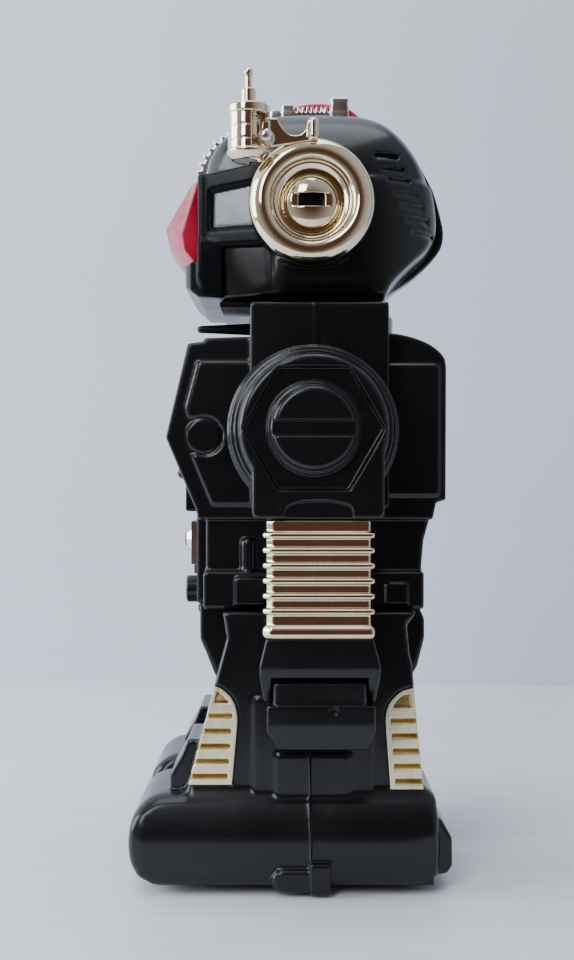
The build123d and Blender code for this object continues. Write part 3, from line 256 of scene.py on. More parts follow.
def wall_material():
    s = Shader("pale_wall")
    colour = s.mix(s.ramp(s.noise(3, 3), [(0.3, 0.0), (0.7, 1.0)]), (0.74, 0.80, 0.90), (0.79, 0.85, 0.94))
    s.set(Roughness=0.8)
    return s.finish(colour, None, s.bump(s.noise(60, 5), 0.0006, 0.3))


def make_materials():
    """One material for each slot of the record, then two that only some pieces and faces wear."""
    return {
        "black_plastic": black_plastic("black_plastic", 0.4),
        "gold_plating": plating("gold_plating", (0.80, 0.68, 0.46), (0.90, 0.80, 0.60), 0.05, 0.16),
        "silver_plating": plating("silver_plating", (0.72, 0.72, 0.75), (0.86, 0.87, 0.89), 0.1, 0.28),
        "nickel": plating("nickel", (0.60, 0.58, 0.54), (0.72, 0.70, 0.66), 0.2, 0.35),
        "cream_gold": cream_gold(),
        "red_clear": clear_red(),
        "smoked_clear": plain_plastic("smoked_clear", (0.13, 0.15, 0.17), (0.24, 0.27, 0.31), 0.05, 0.15),
        "inner_plastic": plain_plastic("inner_plastic", (0.05, 0.05, 0.055), (0.09, 0.09, 0.095)),
        "white_plastic": plain_plastic("white_plastic", (0.72, 0.71, 0.66), (0.82, 0.81, 0.77)),
        "tyre_rubber": plain_plastic("tyre_rubber", (0.02, 0.02, 0.02), (0.05, 0.05, 0.05), 0.7, 0.9, 800),
        "cell_jacket": plain_plastic("cell_jacket", (0.04, 0.08, 0.20), (0.06, 0.11, 0.26), 0.2, 0.35),
        "board": plain_plastic("board", (0.03, 0.16, 0.07), (0.05, 0.22, 0.10), 0.3, 0.5),
        "paper_cone": plain_plastic("paper_cone", (0.03, 0.03, 0.03), (0.06, 0.06, 0.06), 0.8, 0.95, 900),
        "steel": bare_steel(),
        "dull_black": black_plastic("dull_black", 0.12),
        # Darker gold for the faces set back in the grilles' slots: painted shade.
        "shaded_slot_gold": plating("painted_shade_gold", (0.42, 0.30, 0.10), (0.62, 0.50, 0.24), 0.14, 0.34),
    }


# Rounding of the moulded edges in millimetres, where it isn't the usual one.
USUAL_EDGE = 0.35
EDGE = {"chest_button": 0.2, "antenna_pin": 0.15, "axle_gear": 0.05, "idler_gear": 0.05, "motor_pinion": 0.05}


def dress_cad_nodes():
    """Gives every CAD node its slot's material and rounds its moulded edges."""
    slots = {row["node"]: row["material_slot"] for row in frame["record"]["subparts"]}
    for name, piece in frame["nodes"].items():
        piece.data.materials.clear()
        piece.data.materials.append(materials[slots[name]])
        soften(piece, EDGE.get(name, USUAL_EDGE) * MM)


def soften(piece, width, segments=3):
    """Welds, rounds the sharp edges and keeps the shading of the flat faces flat."""
    normals = piece.data.attributes.get("custom_normal")
    if normals:
        piece.data.attributes.remove(normals)
    weld = piece.modifiers.new("weld", "WELD")
    weld.merge_threshold = 0.000002
    bevel = piece.modifiers.new("bevel", "BEVEL")
    bevel.width = width
    bevel.segments = segments
    bevel.limit_method = "ANGLE"
    bevel.angle_limit = math.radians(32)
    bevel.use_clamp_overlap = True
    weighted = piece.modifiers.new("weighted_normals", "WEIGHTED_NORMAL")
    weighted.weight = 80
    weighted.keep_sharp = True
    piece.data.shade_smooth()


# ---------------------------------------------------------------- forms as distance fields
class Room:
    """Sampling grid over a box in millimetres. A form on it is an array of distances, negative inside."""

    def __init__(self, low, high, step):
        self.step = step
        self.low = np.array(low, float) - 2.5 * step
        counts = np.ceil((np.array(high) - np.array(low)) / step).astype(int) + 6
        axes = [(self.low[k] + step * np.arange(counts[k])).astype(np.float32) for k in range(3)]
        self.shape = tuple(counts)
        self.x, self.y, self.z = np.meshgrid(*axes, indexing="ij", sparse=True)

    def side(self, points, corner=0.0):
        return outline(self.y, self.z, points, corner)

    def front(self, points, corner=0.0):
        return outline(self.x, self.z, points, corner)

    def top(self, points, corner=0.0):
        return outline(self.x, self.y, points, corner)

    def block(self, x, y, z, r=0.5):
        return meet(span(self.x, x), span(self.y, y), span(self.z, z), r=r)

    def tube_x(self, y, z, radius):
        return np.hypot(self.y - y, self.z - z) - radius

    def tube_z(self, x, y, radius):
        return np.hypot(self.x - x, self.y - y) - radius


def span(along, limits):
    return np.abs(along - (limits[0] + limits[1]) / 2) - (limits[1] - limits[0]) / 2


def inset(points, amount):
    """The closed outline drawn in by an amount at every edge."""
    area = sum(a[0] * b[1] - b[0] * a[1] for a, b in zip(points, points[1:] + points[:1]))
    turn = math.copysign(1, area)
    drawn = []
    for before, here, after in zip(points[-1:] + points[:-1], points, points[1:] + points[:1]):
        sides = [Vector(here) - Vector(before), Vector(after) - Vector(here)]
        inward = [Vector((-side.y, side.x)).normalized() * turn for side in sides]
        shift = (inward[0] + inward[1]) * (amount / (1 + inward[0].dot(inward[1])))
        drawn.append((here[0] + shift.x, here[1] + shift.y))
    return drawn


def outline(across, up, points, corner=0.0):
    """Distance to a closed outline in the plane of two axes, its outer corners rounded."""
    if corner:
        return outline(across, up, inset(points, corner)) - corner
    nearest = np.float32(1e9)
    inside = np.zeros(np.broadcast(across, up).shape, bool)
    for (a0, b0), (a1, b1) in zip(points, points[1:] + points[:1]):
        run, rise = a1 - a0, b1 - b0
        share = np.clip(((across - a0) * run + (up - b0) * rise) / (run * run + rise * rise), 0, 1)
        nearest = np.minimum(nearest, (across - a0 - share * run) ** 2 + (up - b0 - share * rise) ** 2)
        if rise:
            inside ^= ((b0 <= up) != (b1 <= up)) & (across < a0 + (up - b0) * run / rise)
    return np.where(inside, -np.sqrt(nearest), np.sqrt(nearest)).astype(np.float32)


def meet(*forms, r=0.5):
    """What the forms share, with each edge made by two of them rounded to radius r."""
    result = forms[0]
    for form in forms[1:]:
        past = np.sqrt(np.maximum(result + r, 0) ** 2 + np.maximum(form + r, 0) ** 2)
        result = np.minimum(np.maximum(result, form), -r) + past
    return result


def join(*forms, r=0.5):
    """All the forms together, with each inner corner filled to radius r."""
    return -meet(*[-form for form in forms], r=r)


def cut(form, *tools, r=0.35):
    for tool in tools:
        form = meet(form, -tool, r=r)
    return form


def curve(points, steps=6):
    """Smooth run through the points, ends included."""
    padded = [points[0], *points, points[-1]]
    run = []
    for near in zip(padded, padded[1:], padded[2:], padded[3:]):
        for t in (step / steps for step in range(steps)):
            weights = (-t + 2 * t**2 - t**3, 2 - 5 * t**2 + 3 * t**3, t + 4 * t**2 - 3 * t**3, t**3 - t**2)
            run.append(tuple(sum(w * p[k] for w, p in zip(weights, near)) / 2 for k in (0, 1)))
    return run + [points[-1]]


def mirrored(points):
    """Half an outline, from the middle out and back, made whole."""
    return points + [(-across, up) for across, up in reversed(points) if across]


def skin(name, room, form):
    """Mesh of the form's surface: a vertex in every crossed cell and a face across every crossed edge."""
    form = np.broadcast_to(form, room.shape)
    inside = form < 0
    corners = [np.array(c) for c in itertools.product((0, 1), repeat=3)]
    count = np.zeros([n - 1 for n in room.shape], np.int8)
    for c in corners:
        count += inside[tuple(slice(c[k], room.shape[k] - 1 + c[k]) for k in range(3))]
    crossed = (count > 0) & (count < 8)
    cells = np.argwhere(crossed)
    number = np.full(crossed.shape, -1, np.int64)
    number[crossed] = np.arange(len(cells))
    values = [form[tuple((cells + c).T)] for c in corners]
    total, hits = np.zeros((len(cells), 3)), np.zeros((len(cells), 1))
    for i, j in itertools.combinations(range(8), 2):
        if np.abs(corners[i] - corners[j]).sum() == 1:
            passes = ((values[i] < 0) != (values[j] < 0))[:, None]
            gap = np.where(passes[:, 0], values[i] - values[j], 1)
            share = (values[i] / gap)[:, None]
            total += passes * (corners[i] + share * (corners[j] - corners[i]))
            hits += passes
    points = (room.low + room.step * (cells + total / hits)) * MM
    faces = []
    for axis in range(3):
        lower = np.take(inside, range(room.shape[axis] - 1), axis)
        upper = np.take(inside, range(1, room.shape[axis]), axis)
        spots = np.argwhere(lower != upper)
        outward = lower[tuple(spots.T)]
        u, v = np.eye(3, dtype=int)[(axis + 1) % 3], np.eye(3, dtype=int)[(axis + 2) % 3]
        quads = np.stack([number[tuple((spots - s).T)] for s in (0 * u, u, u + v, v)], 1)
        faces += quads[outward].tolist() + quads[~outward][:, ::-1].tolist()
    mesh = bpy.data.meshes.new(name)
    mesh.from_pydata(points.tolist(), [], faces)
    mesh.shade_smooth()
    return mesh


def piece(name, mesh, material, body, *stands_for):
    """Puts a mesh into the scene as the looks of some CAD nodes, moving with their body."""
    mesh.materials.append(materials[material])
    made = bpy.data.objects.new(name, mesh)
    bpy.context.scene.collection.objects.link(made)
    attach(made, body)
    if stands_for:
        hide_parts(*stands_for)
    return made


def flipped(mesh, name):
    """Mirror image of a left-hand mesh for the right-hand side."""
    twin = mesh.copy()
    twin.name = name
    twin.transform(Matrix.Scale(-1, 4, (1, 0, 0)))
    twin.flip_normals()
    return twin


def parted(mesh, name, y, front):
    """The part of a mesh in front of, or behind, an upright plane across the robot, closed by a flat face."""
    half = mesh.copy()
    half.name = name
    shape = bmesh.new()
    shape.from_mesh(half)
    everything = shape.verts[:] + shape.edges[:] + shape.faces[:]
    bmesh.ops.bisect_plane(
        shape, geom=everything, plane_co=(0, y * MM, 0), plane_no=(0, 1 if front else -1, 0), clear_outer=True
    )
    rim = [edge for edge in shape.edges if edge.is_boundary]
    for edge in rim:
        edge.smooth = False
    bmesh.ops.triangle_fill(shape, edges=rim, use_beauty=True, normal=(0, 1 if front else -1, 0))
    bmesh.ops.recalc_face_normals(shape, faces=shape.faces)
    for face in shape.faces:
        face.smooth = True
    shape.to_mesh(half)
    shape.free()
    return half


def pair(name, mesh, material, bodies, *nodes):
    """The left piece and its mirror image; each node name is completed with _left and _right."""
    twin = flipped(mesh, name + "_right")
    for side, shape, body in (("_left", mesh, bodies[0]), ("_right", twin, bodies[1])):
        piece(name + side, shape, material, body, *[node + side for node in nodes])


def lathe(name, profile, centre, steps=96):
    """Mesh turned about an axis along X; the closed profile holds (x, radius) pairs."""
    ring = []
    for k in range(steps):
        angle = 2 * math.pi * k / steps
        out_y, out_z = math.cos(angle), math.sin(angle)
        ring.append([(x, centre[0] + r * out_y, centre[1] + r * out_z) for x, r in profile])
    count = len(profile)
    points = [tuple(c * MM for c in p) for column in ring for p in column]
    faces = []
    for k in range(steps):
        here, there = k * count, (k + 1) % steps * count
        for i in range(count):
            j = (i + 1) % count
            faces.append((here + i, here + j, there + j, there + i))
    mesh = bpy.data.meshes.new(name)
    mesh.from_pydata(points, [], faces)
    shape = bmesh.new()
    shape.from_mesh(mesh)
    bmesh.ops.remove_doubles(shape, verts=shape.verts, dist=1e-6)
    bmesh.ops.recalc_face_normals(shape, faces=shape.faces)
    shape.to_mesh(mesh)
    shape.free()
    mesh.shade_smooth()
    return mesh


# ---------------------------------------------------------------- head
EAR_Y, EAR_Z = 8.1, 254.9
DOME = [
    (-35.2, 271.0), (-35.6, 278.0), (-31.6, 286.4), (-24.0, 293.2), (-12.0, 298.9), (2.0, 301.6),
    (14.0, 302.0), (26.0, 300.4), (36.0, 295.8), (45.0, 287.6), (51.6, 278.0), (56.0, 267.6),
    (58.4, 257.0), (58.2, 249.6), (54.0, 242.2), (46.6, 235.2), (39.0, 227.2), (36.6, 221.0),
]
SPINE = [
    (14.0, 300.0), (29.4, 301.0), (36.4, 298.8), (43.1, 293.6), (49.8, 286.8), (53.9, 280.8), (57.2, 274.7),
    (59.7, 269.3), (62.6, 258.5), (63.4, 252.7), (62.1, 246.8), (57.2, 240.6), (49.8, 234.0), (40.6, 227.8),
    (36.0, 222.4),
]


LOUVRES, LOUVRE_Z, LOUVRE_PITCH, LOUVRE_HEIGHT = 7, 245.6, 4.8, 2.8


def dome_side(room):
    """Helmet's outline seen from the side, as far forward as the face block."""
    return room.side(curve(DOME) + [(-26.9, 221.0), (-26.9, 270.8)])


def make_helmet():
    """Domed shell with a raised spine down the back and a column of louvres on each rear quarter."""
    room = Room((-49, -38, 219), (49, 65, 304), 0.75)
    front = curve([(0, 302.2), (16, 300.2), (30, 294.2), (40, 285), (45.8, 273.5), (48, 258)])
    front = room.front(mirrored(front + [(48, 232.0), (44.0, 223.0), (38, 219.8), (0, 219.8)]))
    rear = [(48, 8), (47.6, 24), (44.4, 38), (37.6, 49.6), (27.0, 57.2), (14.0, 61.0), (0, 62.0)]
    round_plan = curve([(0, -37.5), (12, -36.6), (24, -32.0), (34, -23.0), (42, -11.0), (46.4, -1)] + rear)
    square_plan = [(0, -40), (40.4, -40), (40.6, -24), (43.0, -12), (44.2, -7), (47.6, -2)] + curve(rear)
    share = 2.6  # 2 would be an ellipsoid, and a higher number is nearer a box
    reaches = ((room.x, 49), (room.y - 11, 52), (room.z - 246, 57))
    ball = sum(np.abs(way / reach) ** share for way, reach in reaches)
    ball = (ball ** (1 / share) - 1) * 46
    dome = meet(dome_side(room), front, room.top(mirrored(round_plan)), ball, r=5.0)
    lower = meet(dome_side(room), front, room.top(mirrored(square_plan)), ball, r=2.0)
    body = join(dome, meet(lower, room.z - 268.0, r=2.0), r=1.5)
    spine = meet(room.side(curve(SPINE) + [(20, 240), (10, 290)]), span(room.x, (-6.0, 6.0)), r=1.2)
    for row in range(LOUVRES):
        low = LOUVRE_Z + LOUVRE_PITCH * row
        high = low + LOUVRE_HEIGHT
        start = 47.0 - 2.4 * row
        depth = 2.0 * np.clip((room.z - low) / (high - low), 0, 1)
        slot = meet(-(body + depth), span(room.z, (low, high)), span(room.y, (start, start + 9.5)), r=0.3)
        body = cut(body, slot, r=0.4)
    hollow = room.block((-36, 36), (-60, -12), (223, 266), r=3.0)
    form = cut(join(body, spine, r=1.0), hollow)
    piece("helmet_shell", skin("helmet_shell", room, form), "black_plastic", "head", "helmet")


CHEEK_LEAN = 0.22  # the cheek boxes face a little forward: this much sideways for each length back


def make_face():
    """Face block: chin, jaw, cheek boxes with window recesses, and the visor's opening."""
    room = Room((-49.8, -45, 221), (49.8, 3, 276), 0.6)
    jaw_points = [(-35.3, 244), (-35.4, 229.0), (-33.6, 224.6), (-29, 222.4), (-26.0, 222.2), (-26.0, 244)]
    jaw_front = [(-42.8, 246), (-42.8, 231), (-39.6, 222), (39.6, 222), (42.8, 231), (42.8, 246)]
    jaw = meet(room.side(jaw_points), room.front(jaw_front), r=1.0)
    core = room.block((-42, 42), (-35.3, -26.0), (236, 269.4), r=1.4)
    box = room.side([(-34.8, 268.8), (-14.4, 272.3), (-5, 273.8), (-5, 241.2), (-34.8, 241.2)])
    outer = (np.abs(room.x) - 49.1 - CHEEK_LEAN * room.y) / math.hypot(1, CHEEK_LEAN)
    cheeks = meet(box, outer, 38.0 - np.abs(room.x), r=1.3)
    window = room.side([(-30.7, 263.2), (-6.4, 266.8), (-6.4, 247.6), (-30.9, 246.9)], 0.6)
    recess = meet(window - outer * 0.9, -outer - 2.2, r=0.3)
    chin_points = [(-33, 236.6), (-40.9, 235.6), (-40.6, 227.0), (-35.2, 222.4), (-26, 222.2), (-26, 236.6)]
    plan = mirrored([(0, -42.0), (30, -41.6), (38.6, -38.4), (40.8, -33), (40.8, -20), (0, -20)])
    chin = meet(room.side(chin_points), room.top(plan), r=0.9)
    opening = room.block((-37.6, 37.6), (-60, -14), (238.0, 268.0), r=1.0)
    form = cut(join(cut(join(core, jaw, r=0.5), opening), cheeks, r=0.4), recess)
    form = cut(join(form, chin, r=0.6), room.block((-38.6, 38.6), (-24, 20), (200, 300), r=0.5))
    form = meet(form, room.y, 222.0 - room.z, r=0.1)
    face = skin("face_block", room, form)
    piece("face_block", face, "black_plastic", "head", "face_frame")
    face.materials[0] = materials["dull_black"]

    room = Room((38, -31, 246), (47, -6, 268), 0.5)
    outer = (room.x - 49.1 - CHEEK_LEAN * room.y) / math.hypot(1, CHEEK_LEAN)
    pane = meet(room.side([(-29.0, 261.8), (-7.4, 265.2), (-7.4, 249.2), (-29.2, 248.6)], 0.5),
                span(outer, (-2.6, -1.6)), r=0.3)
    left = skin("side_window_left", room, pane)
    piece("side_window_right", flipped(left, "side_window_right"), "smoked_clear", "head")
    piece("side_window_left", left, "smoked_clear", "head", "side_windows")


def make_visor():
    """Wrap-round visor of flat facets meeting at a level ridge."""
    top = [(0, -39.4, 270.2), (22, -38.8, 269.8), (38.6, -35.4, 267.6)]
    ridge = [(0, -50.2, 252.6), (21, -49.2, 252.0), (39.6, -41.4, 247.0)]
    under = [(0, -48.6, 244.2), (20, -47.6, 243.8), (39.0, -40.4, 240.4)]
    foot = [(0, -43.4, 237.2), (20, -42.4, 237.0), (37.6, -36.6, 235.8)]
    rows = [[(-x, y, z) for x, y, z in reversed(row[1:])] + row for row in (top, ridge, under, foot)]
    back = [(x, -33.5, z) for x, y, z in rows[-1]]
    crown = [(x, -33.5, z) for x, y, z in rows[0]]
    rows = rows + [back, crown]
    width = len(rows[0])
    points = [tuple(c * MM for c in p) for row in rows for p in row]
    faces = []
    for i in range(len(rows)):
        for k in range(width - 1):
            a, b = i * width + k, (i + 1) % len(rows) * width + k
            faces.append((a, a + 1, b + 1, b))
    faces.append([i * width for i in range(len(rows))])
    faces.append([i * width + width - 1 for i in range(len(rows))])
    mesh = bpy.data.meshes.new("visor_lens")
    mesh.from_pydata(points, [], faces)
    shape = bmesh.new()
    shape.from_mesh(mesh)
    bmesh.ops.recalc_face_normals(shape, faces=shape.faces)
    shape.to_mesh(mesh)
    shape.free()
    made = piece("visor_lens", mesh, "red_clear", "head", "visor")
    soften(made, 0.7 * MM, 3)


def make_crest():
    """Ribbed bright strip over the forehead and crown, with two brackets and a red lens."""
    room = Room((-7, -40, 271), (7, 26, 311), 0.4)
    dome = dome_side(room)
    along = 52.0 * np.arctan2(room.z - 250.0, room.y - 10.0)
    ribs = 0.8 * np.clip(1.6 * np.sin(along * 2 * math.pi / 3.2), -1, 1)
    strip = meet(dome - 2.1 - ribs, -(dome + 1.0), span(room.x, (-5.6, 5.6)), r=0.3)
    strip = meet(strip, room.y - 24.0, 276.0 - room.z, r=0.3)
    base = room.block((-6.4, 6.4), (-9.4, 24.4), (298.0, 303.4), r=0.4)
    form = join(strip, base, r=0.3)
    for y, top in (((-7.8, -3.8), 304.4), ((-3.3, 1.7), 306.5), ((16.9, 24.4), 309.3)):
        form = join(form, room.block((-6.5, 6.5), y, (298, top), r=0.7), r=0.4)
    for y in (16.0, 25.3):
        form = cut(form, np.hypot(room.y - y, room.z - 306.6) - 1.3)
    teeth = np.abs((room.y + 60) % 1.9 - 0.95) - 0.55
    comb = meet(teeth, room.block((-6.5, 6.5), (1.7, 16.9), (303, 305.4), r=0.3), r=0.2)
    form = join(form, comb, r=0.2)
    piece("crest_trim", skin("crest_trim", room, form), "silver_plating", "head", "crest_strip")

    room = Room((-6, -1, 298), (6, 31, 309), 0.4)
    arch = curve([(-0.4, 304.4), (3.0, 306.6), (10.6, 307.7), (18.0, 307.2), (25.0, 305.2), (30.4, 300.6)])
    lens = room.side(arch + [(30.4, 299.0), (-0.4, 299.0)])
    form = meet(lens, span(room.x, (-4.6, 4.6)), r=2.4)
    piece("crest_lens_cap", skin("crest_lens_cap", room, form), "red_clear", "head", "crest_lens")


def make_ears():
    """Dished bright rings on both sides, each round a domed cap with a key slot."""
    rim = [(57.0, 23.4), (59.6, 23.1), (61.8, 21.8), (63.2, 19.6), (63.5, 17.6), (62.8, 15.9), (61.6, 14.9)]
    profile = [(48.2, 22.4), (49.4, 23.4)] + curve(rim) + [(60.8, 14.7), (60.3, 14.7), (60.2, 13.9)]
    profile += curve([(60.3, 13.7), (59.9, 13.1), (59.0, 12.0), (58.2, 11.6)]) + [(48.2, 11.5)]
    left = lathe("ear_ring_left", profile, (EAR_Y, EAR_Z))
    piece("ear_ring_right", flipped(left, "ear_ring_right"), "gold_plating", "head")
    piece("ear_ring_left", left, "gold_plating", "head", "ear_rings")

    room = Room((48, EAR_Y - 11, EAR_Z - 11), (63.5, EAR_Y + 11, EAR_Z + 11), 0.3)
    reach = np.sqrt((room.x - 46.6) ** 2 + (room.y - EAR_Y) ** 2 + (room.z - EAR_Z) ** 2) - 16.2
    knob = meet(reach, room.tube_x(EAR_Y, EAR_Z, 10.3), 48.4 - room.x, r=0.6)
    groove = meet(60.9 - room.x, span(room.z, (EAR_Z - 2.4, EAR_Z + 2.4)), r=0.2)
    key = room.block((55.0, 70), (EAR_Y - 4.85, EAR_Y + 4.85), (EAR_Z - 2.1, EAR_Z + 2.1), r=0.3)
    left = skin("ear_cap_left", room, cut(knob, groove, key, r=0.25))
    piece("ear_cap_right", flipped(left, "ear_cap_right"), "gold_plating", "head")
    piece("ear_cap_left", left, "gold_plating", "head", "ear_caps")
    # A thin black sheet laid on the floor of each cap's key slot: painted shade in the slot.
    room = Room((55, EAR_Y - 5, EAR_Z - 3), (57, EAR_Y + 5, EAR_Z + 3), 0.3)
    dark = room.block((55.0, 56.6), (EAR_Y - 4.7, EAR_Y + 4.7), (EAR_Z - 2.0, EAR_Z + 2.0), r=0.2)
    left = skin("ear_slot_shade_left", room, dark)
    piece("ear_slot_shade_right", flipped(left, "ear_slot_shade_right"), "black_plastic", "head")
    piece("ear_slot_shade_left", left, "black_plastic", "head")
    pan = [(54.9, 11.9), (55.6, 11.9), (55.6, 10.0), (54.9, 10.0)]
    left = lathe("ear_well_left", pan, (EAR_Y, EAR_Z), 48)
    piece("ear_well_right", flipped(left, "ear_well_right"), "gold_plating", "head")
    piece("ear_well_left", left, "gold_plating", "head")


# ---------------------------------------------------------------- antenna
ANTENNA_X, ANTENNA_Y, HINGE_Y, HINGE_Z = 64.5, -15.1, -8.9, 276.7


def make_antenna():
    """Barrel with an open window, collar and ball-tipped stem, and the plate that carries its hinge."""
    room = Room((56, -24, 267), (73, -6, 304), 0.3)
    barrel = meet(room.tube_z(ANTENNA_X, ANTENNA_Y, 7.9), span(room.z, (268.0, 288.2)), r=0.8)
    off_axis = np.hypot(room.x - ANTENNA_X, room.y - ANTENNA_Y)
    taper = off_axis - 5.6 - (room.z - 268.0) * 0.9
    barrel = meet(barrel, taper, r=0.5)
    waist = meet(7.45 - off_axis, span(room.z, (271.6, 284.9)), r=0.2)
    barrel = cut(barrel, waist, r=0.3)
    for low in (275.0, 280.0):
        ring = np.hypot(off_axis - 7.55, room.z - low) - 0.3
        barrel = cut(barrel, ring, r=0.2)
    window = room.block((61.0, 80), (-13.6, 0), (272.4, 284.6), r=0.4)
    stem = meet(room.tube_z(ANTENNA_X, ANTENNA_Y, 1.3), span(room.z, (280, 301.0)), r=0.3)
    collar = meet(room.tube_z(ANTENNA_X, ANTENNA_Y, 2.8), span(room.z, (287, 294.4)), r=0.5)
    ball = np.hypot(off_axis, room.z - 300.6) - 1.8
    core = meet(room.tube_z(ANTENNA_X - 3.0, ANTENNA_Y, 4.0), span(room.z, (270, 287)), r=0.4)
    form = join(cut(barrel, window), core, collar, stem, ball, r=0.25)
    rod = meet(room.tube_x(HINGE_Y, HINGE_Z, 1.0), span(room.x, (58, 66)), r=0.1)
    form = cut(form, meet(room.tube_x(EAR_Y, EAR_Z, 26.2), room.x - 63.9, r=0.3), r=0.3)
    piece("antenna_mast", skin("antenna_mast", room, join(form, rod)), "gold_plating", "antenna", "antenna")

    room = Room((60, -12.4, 273), (65, 11, 286), 0.25)
    plate = [(HINGE_Y, 273.6), (HINGE_Y, 280.2), (-8.0, 284.2)]
    plate += curve([(-4.4, 284.2), (-2.8, 281.0), (0.0, 278.4), (3.4, 278.2), (5.6, 280.0), (6.6, 282.6)])
    plate += [(7.0, 284.2), (10.2, 284.2), (10.2, 276.4)]
    form = meet(room.side(plate), span(room.x, (61.2, 63.4)), r=0.5)
    post = meet(np.hypot(room.y - 8.6, room.x - 62.8) - 1.9, span(room.z, (276.2, 284.6)), r=1.7)
    eye = meet(room.tube_x(HINGE_Y, HINGE_Z, 3.0), span(room.x, (61.2, 64.2)), r=0.5)
    tab = room.block((61.4, 64.2), (HINGE_Y - 1.4, HINGE_Y + 1.4), (HINGE_Z, 283.0), r=0.5)
    form = join(form, post, eye, tab, r=0.6)
    piece("antenna_plate", skin("antenna_plate", room, form), "gold_plating", "head", "antenna_bracket")


# ---------------------------------------------------------------- torso
CHEST = [
    (-38.6, 203.6), (-46.9, 168.2), (-35.2, 140.3), (-34.8, 137.0),
    (54.0, 137.0), (55.4, 143.4), (59.0, 144.5),
]
WAIST = [(-31.8, 139.0), (-31.8, 116.0), (49.8, 116.0), (50.9, 129.0), (53.6, 139.0)]
PELVIS = [
    (-35.4, 103.6), (-35.4, 89.0), (-33.4, 84.6), (-29.6, 75.0), (-24.0, 67.5), (-14.0, 64.2), (36.0, 64.2),
    (45.0, 69.0), (50.6, 78.4), (53.4, 89.6), (53.4, 97.0), (50.6, 103.6),
]
TOWER_Y, TOWER_TOP = (-14.6, 36.7), 217.7
SHOULDER_Y, SHOULDER_Z = 8.5, 170.2
NECK_Y = 12.8
BUTTON_Y, BUTTON_Z, BUTTON_DROP, BUTTON_REACH = -41.7, 155.9, 0.392, 0.920
PARTING_Y = 9.0  # upright plane where front and rear shells meet


def torso_form(room):
    """Chest, waist, belt and pelvis with the shoulder towers, before the torso is parted."""
    across = np.abs(room.x)
    back = curve([(59.2, 194.6), (58.2, 198.6), (54.0, 202.6), (48.0, 205.4), (41.0, 207.2), (34.0, 207.6)])
    chest = CHEST + back + [(-22.4, 206.0), (-32.2, 205.6), (-32.6, 204.4)]
    chest = meet(room.side(chest), across - 48.9, r=1.0)
    waist = meet(room.side(WAIST), across - 46, r=1.2)
    belt = room.side([(-32.6, 117.6), (-32.6, 103.3), (50.6, 103.3), (50.6, 117.6)], 0.8)
    belt = meet(belt, across - 50, r=0.9)
    pelvis = meet(room.side(PELVIS), across - 26, r=1.2)
    belly = room.block((-27, 27), (-36.6, -28), (103.3, 138.5), r=0.6)
    front_box = room.block((-20, 20), (-41.6, -30), (139.4, 153.0), r=0.5)
    front, rear = TOWER_Y
    tower = [(front, 142), (front, TOWER_TOP), (rear, TOWER_TOP), (rear, 142)]
    tower = meet(room.side(tower, 0.8), span(across, (40, 60)), r=0.8)
    seam = room.side([(9.0, 140), (9.0, 217.6), (10.0, 217.6), (10.0, 140)])
    seam = meet(seam, span(across, (55, 60.3)), r=0.2)
    form = join(chest, waist, belt, pelvis, belly, front_box, r=0.5)
    form = join(form, tower, join(flank_panels(room), waist_pipe(room), r=0.4), r=0.35)
    form = join(form, seam, r=0.2)
    form = cut(form, meet(room.tube_x(SHOULDER_Y, SHOULDER_Z, 6.4), 40 - across, r=0.1))
    form = cut(form, meet(room.tube_z(0, NECK_Y, 14.7), 190 - room.z, r=0.1))
    form = cut(form, meet(room.tube_z(0, NECK_Y, 20.0), span(room.z, (190, 204.4)), r=0.1))
    form = cut(form, room.block((-31.6, 31.6), (40.6, 70), (146.6, 198.6), r=0.3))
    form = cut(form, meet(np.hypot(room.x, room.z - 106.9) - 5.8, room.y + 28, r=0.1))
    # The small chest button slides square to the sloping front.
    off_axis = np.hypot(room.x, (room.y - BUTTON_Y) * BUTTON_DROP - (room.z - BUTTON_Z) * BUTTON_REACH)
    form = cut(form, meet(off_axis - 2.6, room.y + 36, r=0.1))
    for row in range(5):
        low = 174.0 + 4.6 * row
        form = cut(form, room.block((-16, 16), (-60, -41.0), (low, low + 1.8), r=0.3))
    return form


def flank_panels(room):
    """Raised panels on the chest's flank; the front one steps round a round boss."""
    stepped = [
        (-34.6, 196.6), (-39.2, 179.1), (-38.2, 175.4), (-30.0, 175.4), (-30.0, 162.0), (-37.1, 161.6),
        (-29.2, 142.6), (-14.0, 142.6), (-14.0, 196.6),
    ]
    raised = span(np.abs(room.x), (44.0, 50.0))
    boss = np.hypot(room.y + 32.4, room.z - 168.7)
    front = meet(cut(room.side(stepped, 0.6), boss - 7.4, r=0.2), raised, r=0.35)
    disc = meet(boss - 6.4, span(np.abs(room.x), (44.0, 49.7)), r=0.4)
    rear = meet(room.side([(36.0, 146.0), (36.0, 195.6), (56.4, 195.6), (56.4, 146.0)], 1.4), raised, r=0.35)
    return np.minimum(np.minimum(front, disc), rear)


def waist_pipe(room):
    """Moulded pipe with a clamp at its foot, and a small block at the rear of the belt."""
    across = np.abs(room.x)
    pipe = meet(np.hypot(across - 46.4, room.y + 15.8) - 2.9, span(room.z, (110, 130.2)), r=2.0)
    clamp = meet(span(across, (44, 52.6)), span(room.y, (-20.6, -9.0)), span(room.z, (104.8, 115.6)), r=0.8)
    rear = meet(span(across, (44, 51.4)), span(room.y, (36.0, 44.5)), span(room.z, (105.0, 113.5)), r=0.6)
    return join(pipe, clamp, rear, r=0.4)


def make_torso():
    """Front and rear shells, cut from one form."""
    room = Room((-60.6, -47.4, 63.6), (60.6, 60, 216.4), 0.8)
    whole = skin("torso", room, torso_form(room))
    for name, front in (("torso_front", True), ("torso_rear", False)):
        shell = parted(whole, name + "_shell", PARTING_Y, front)
        piece(name + "_shell", shell, "black_plastic", "trunk", name)


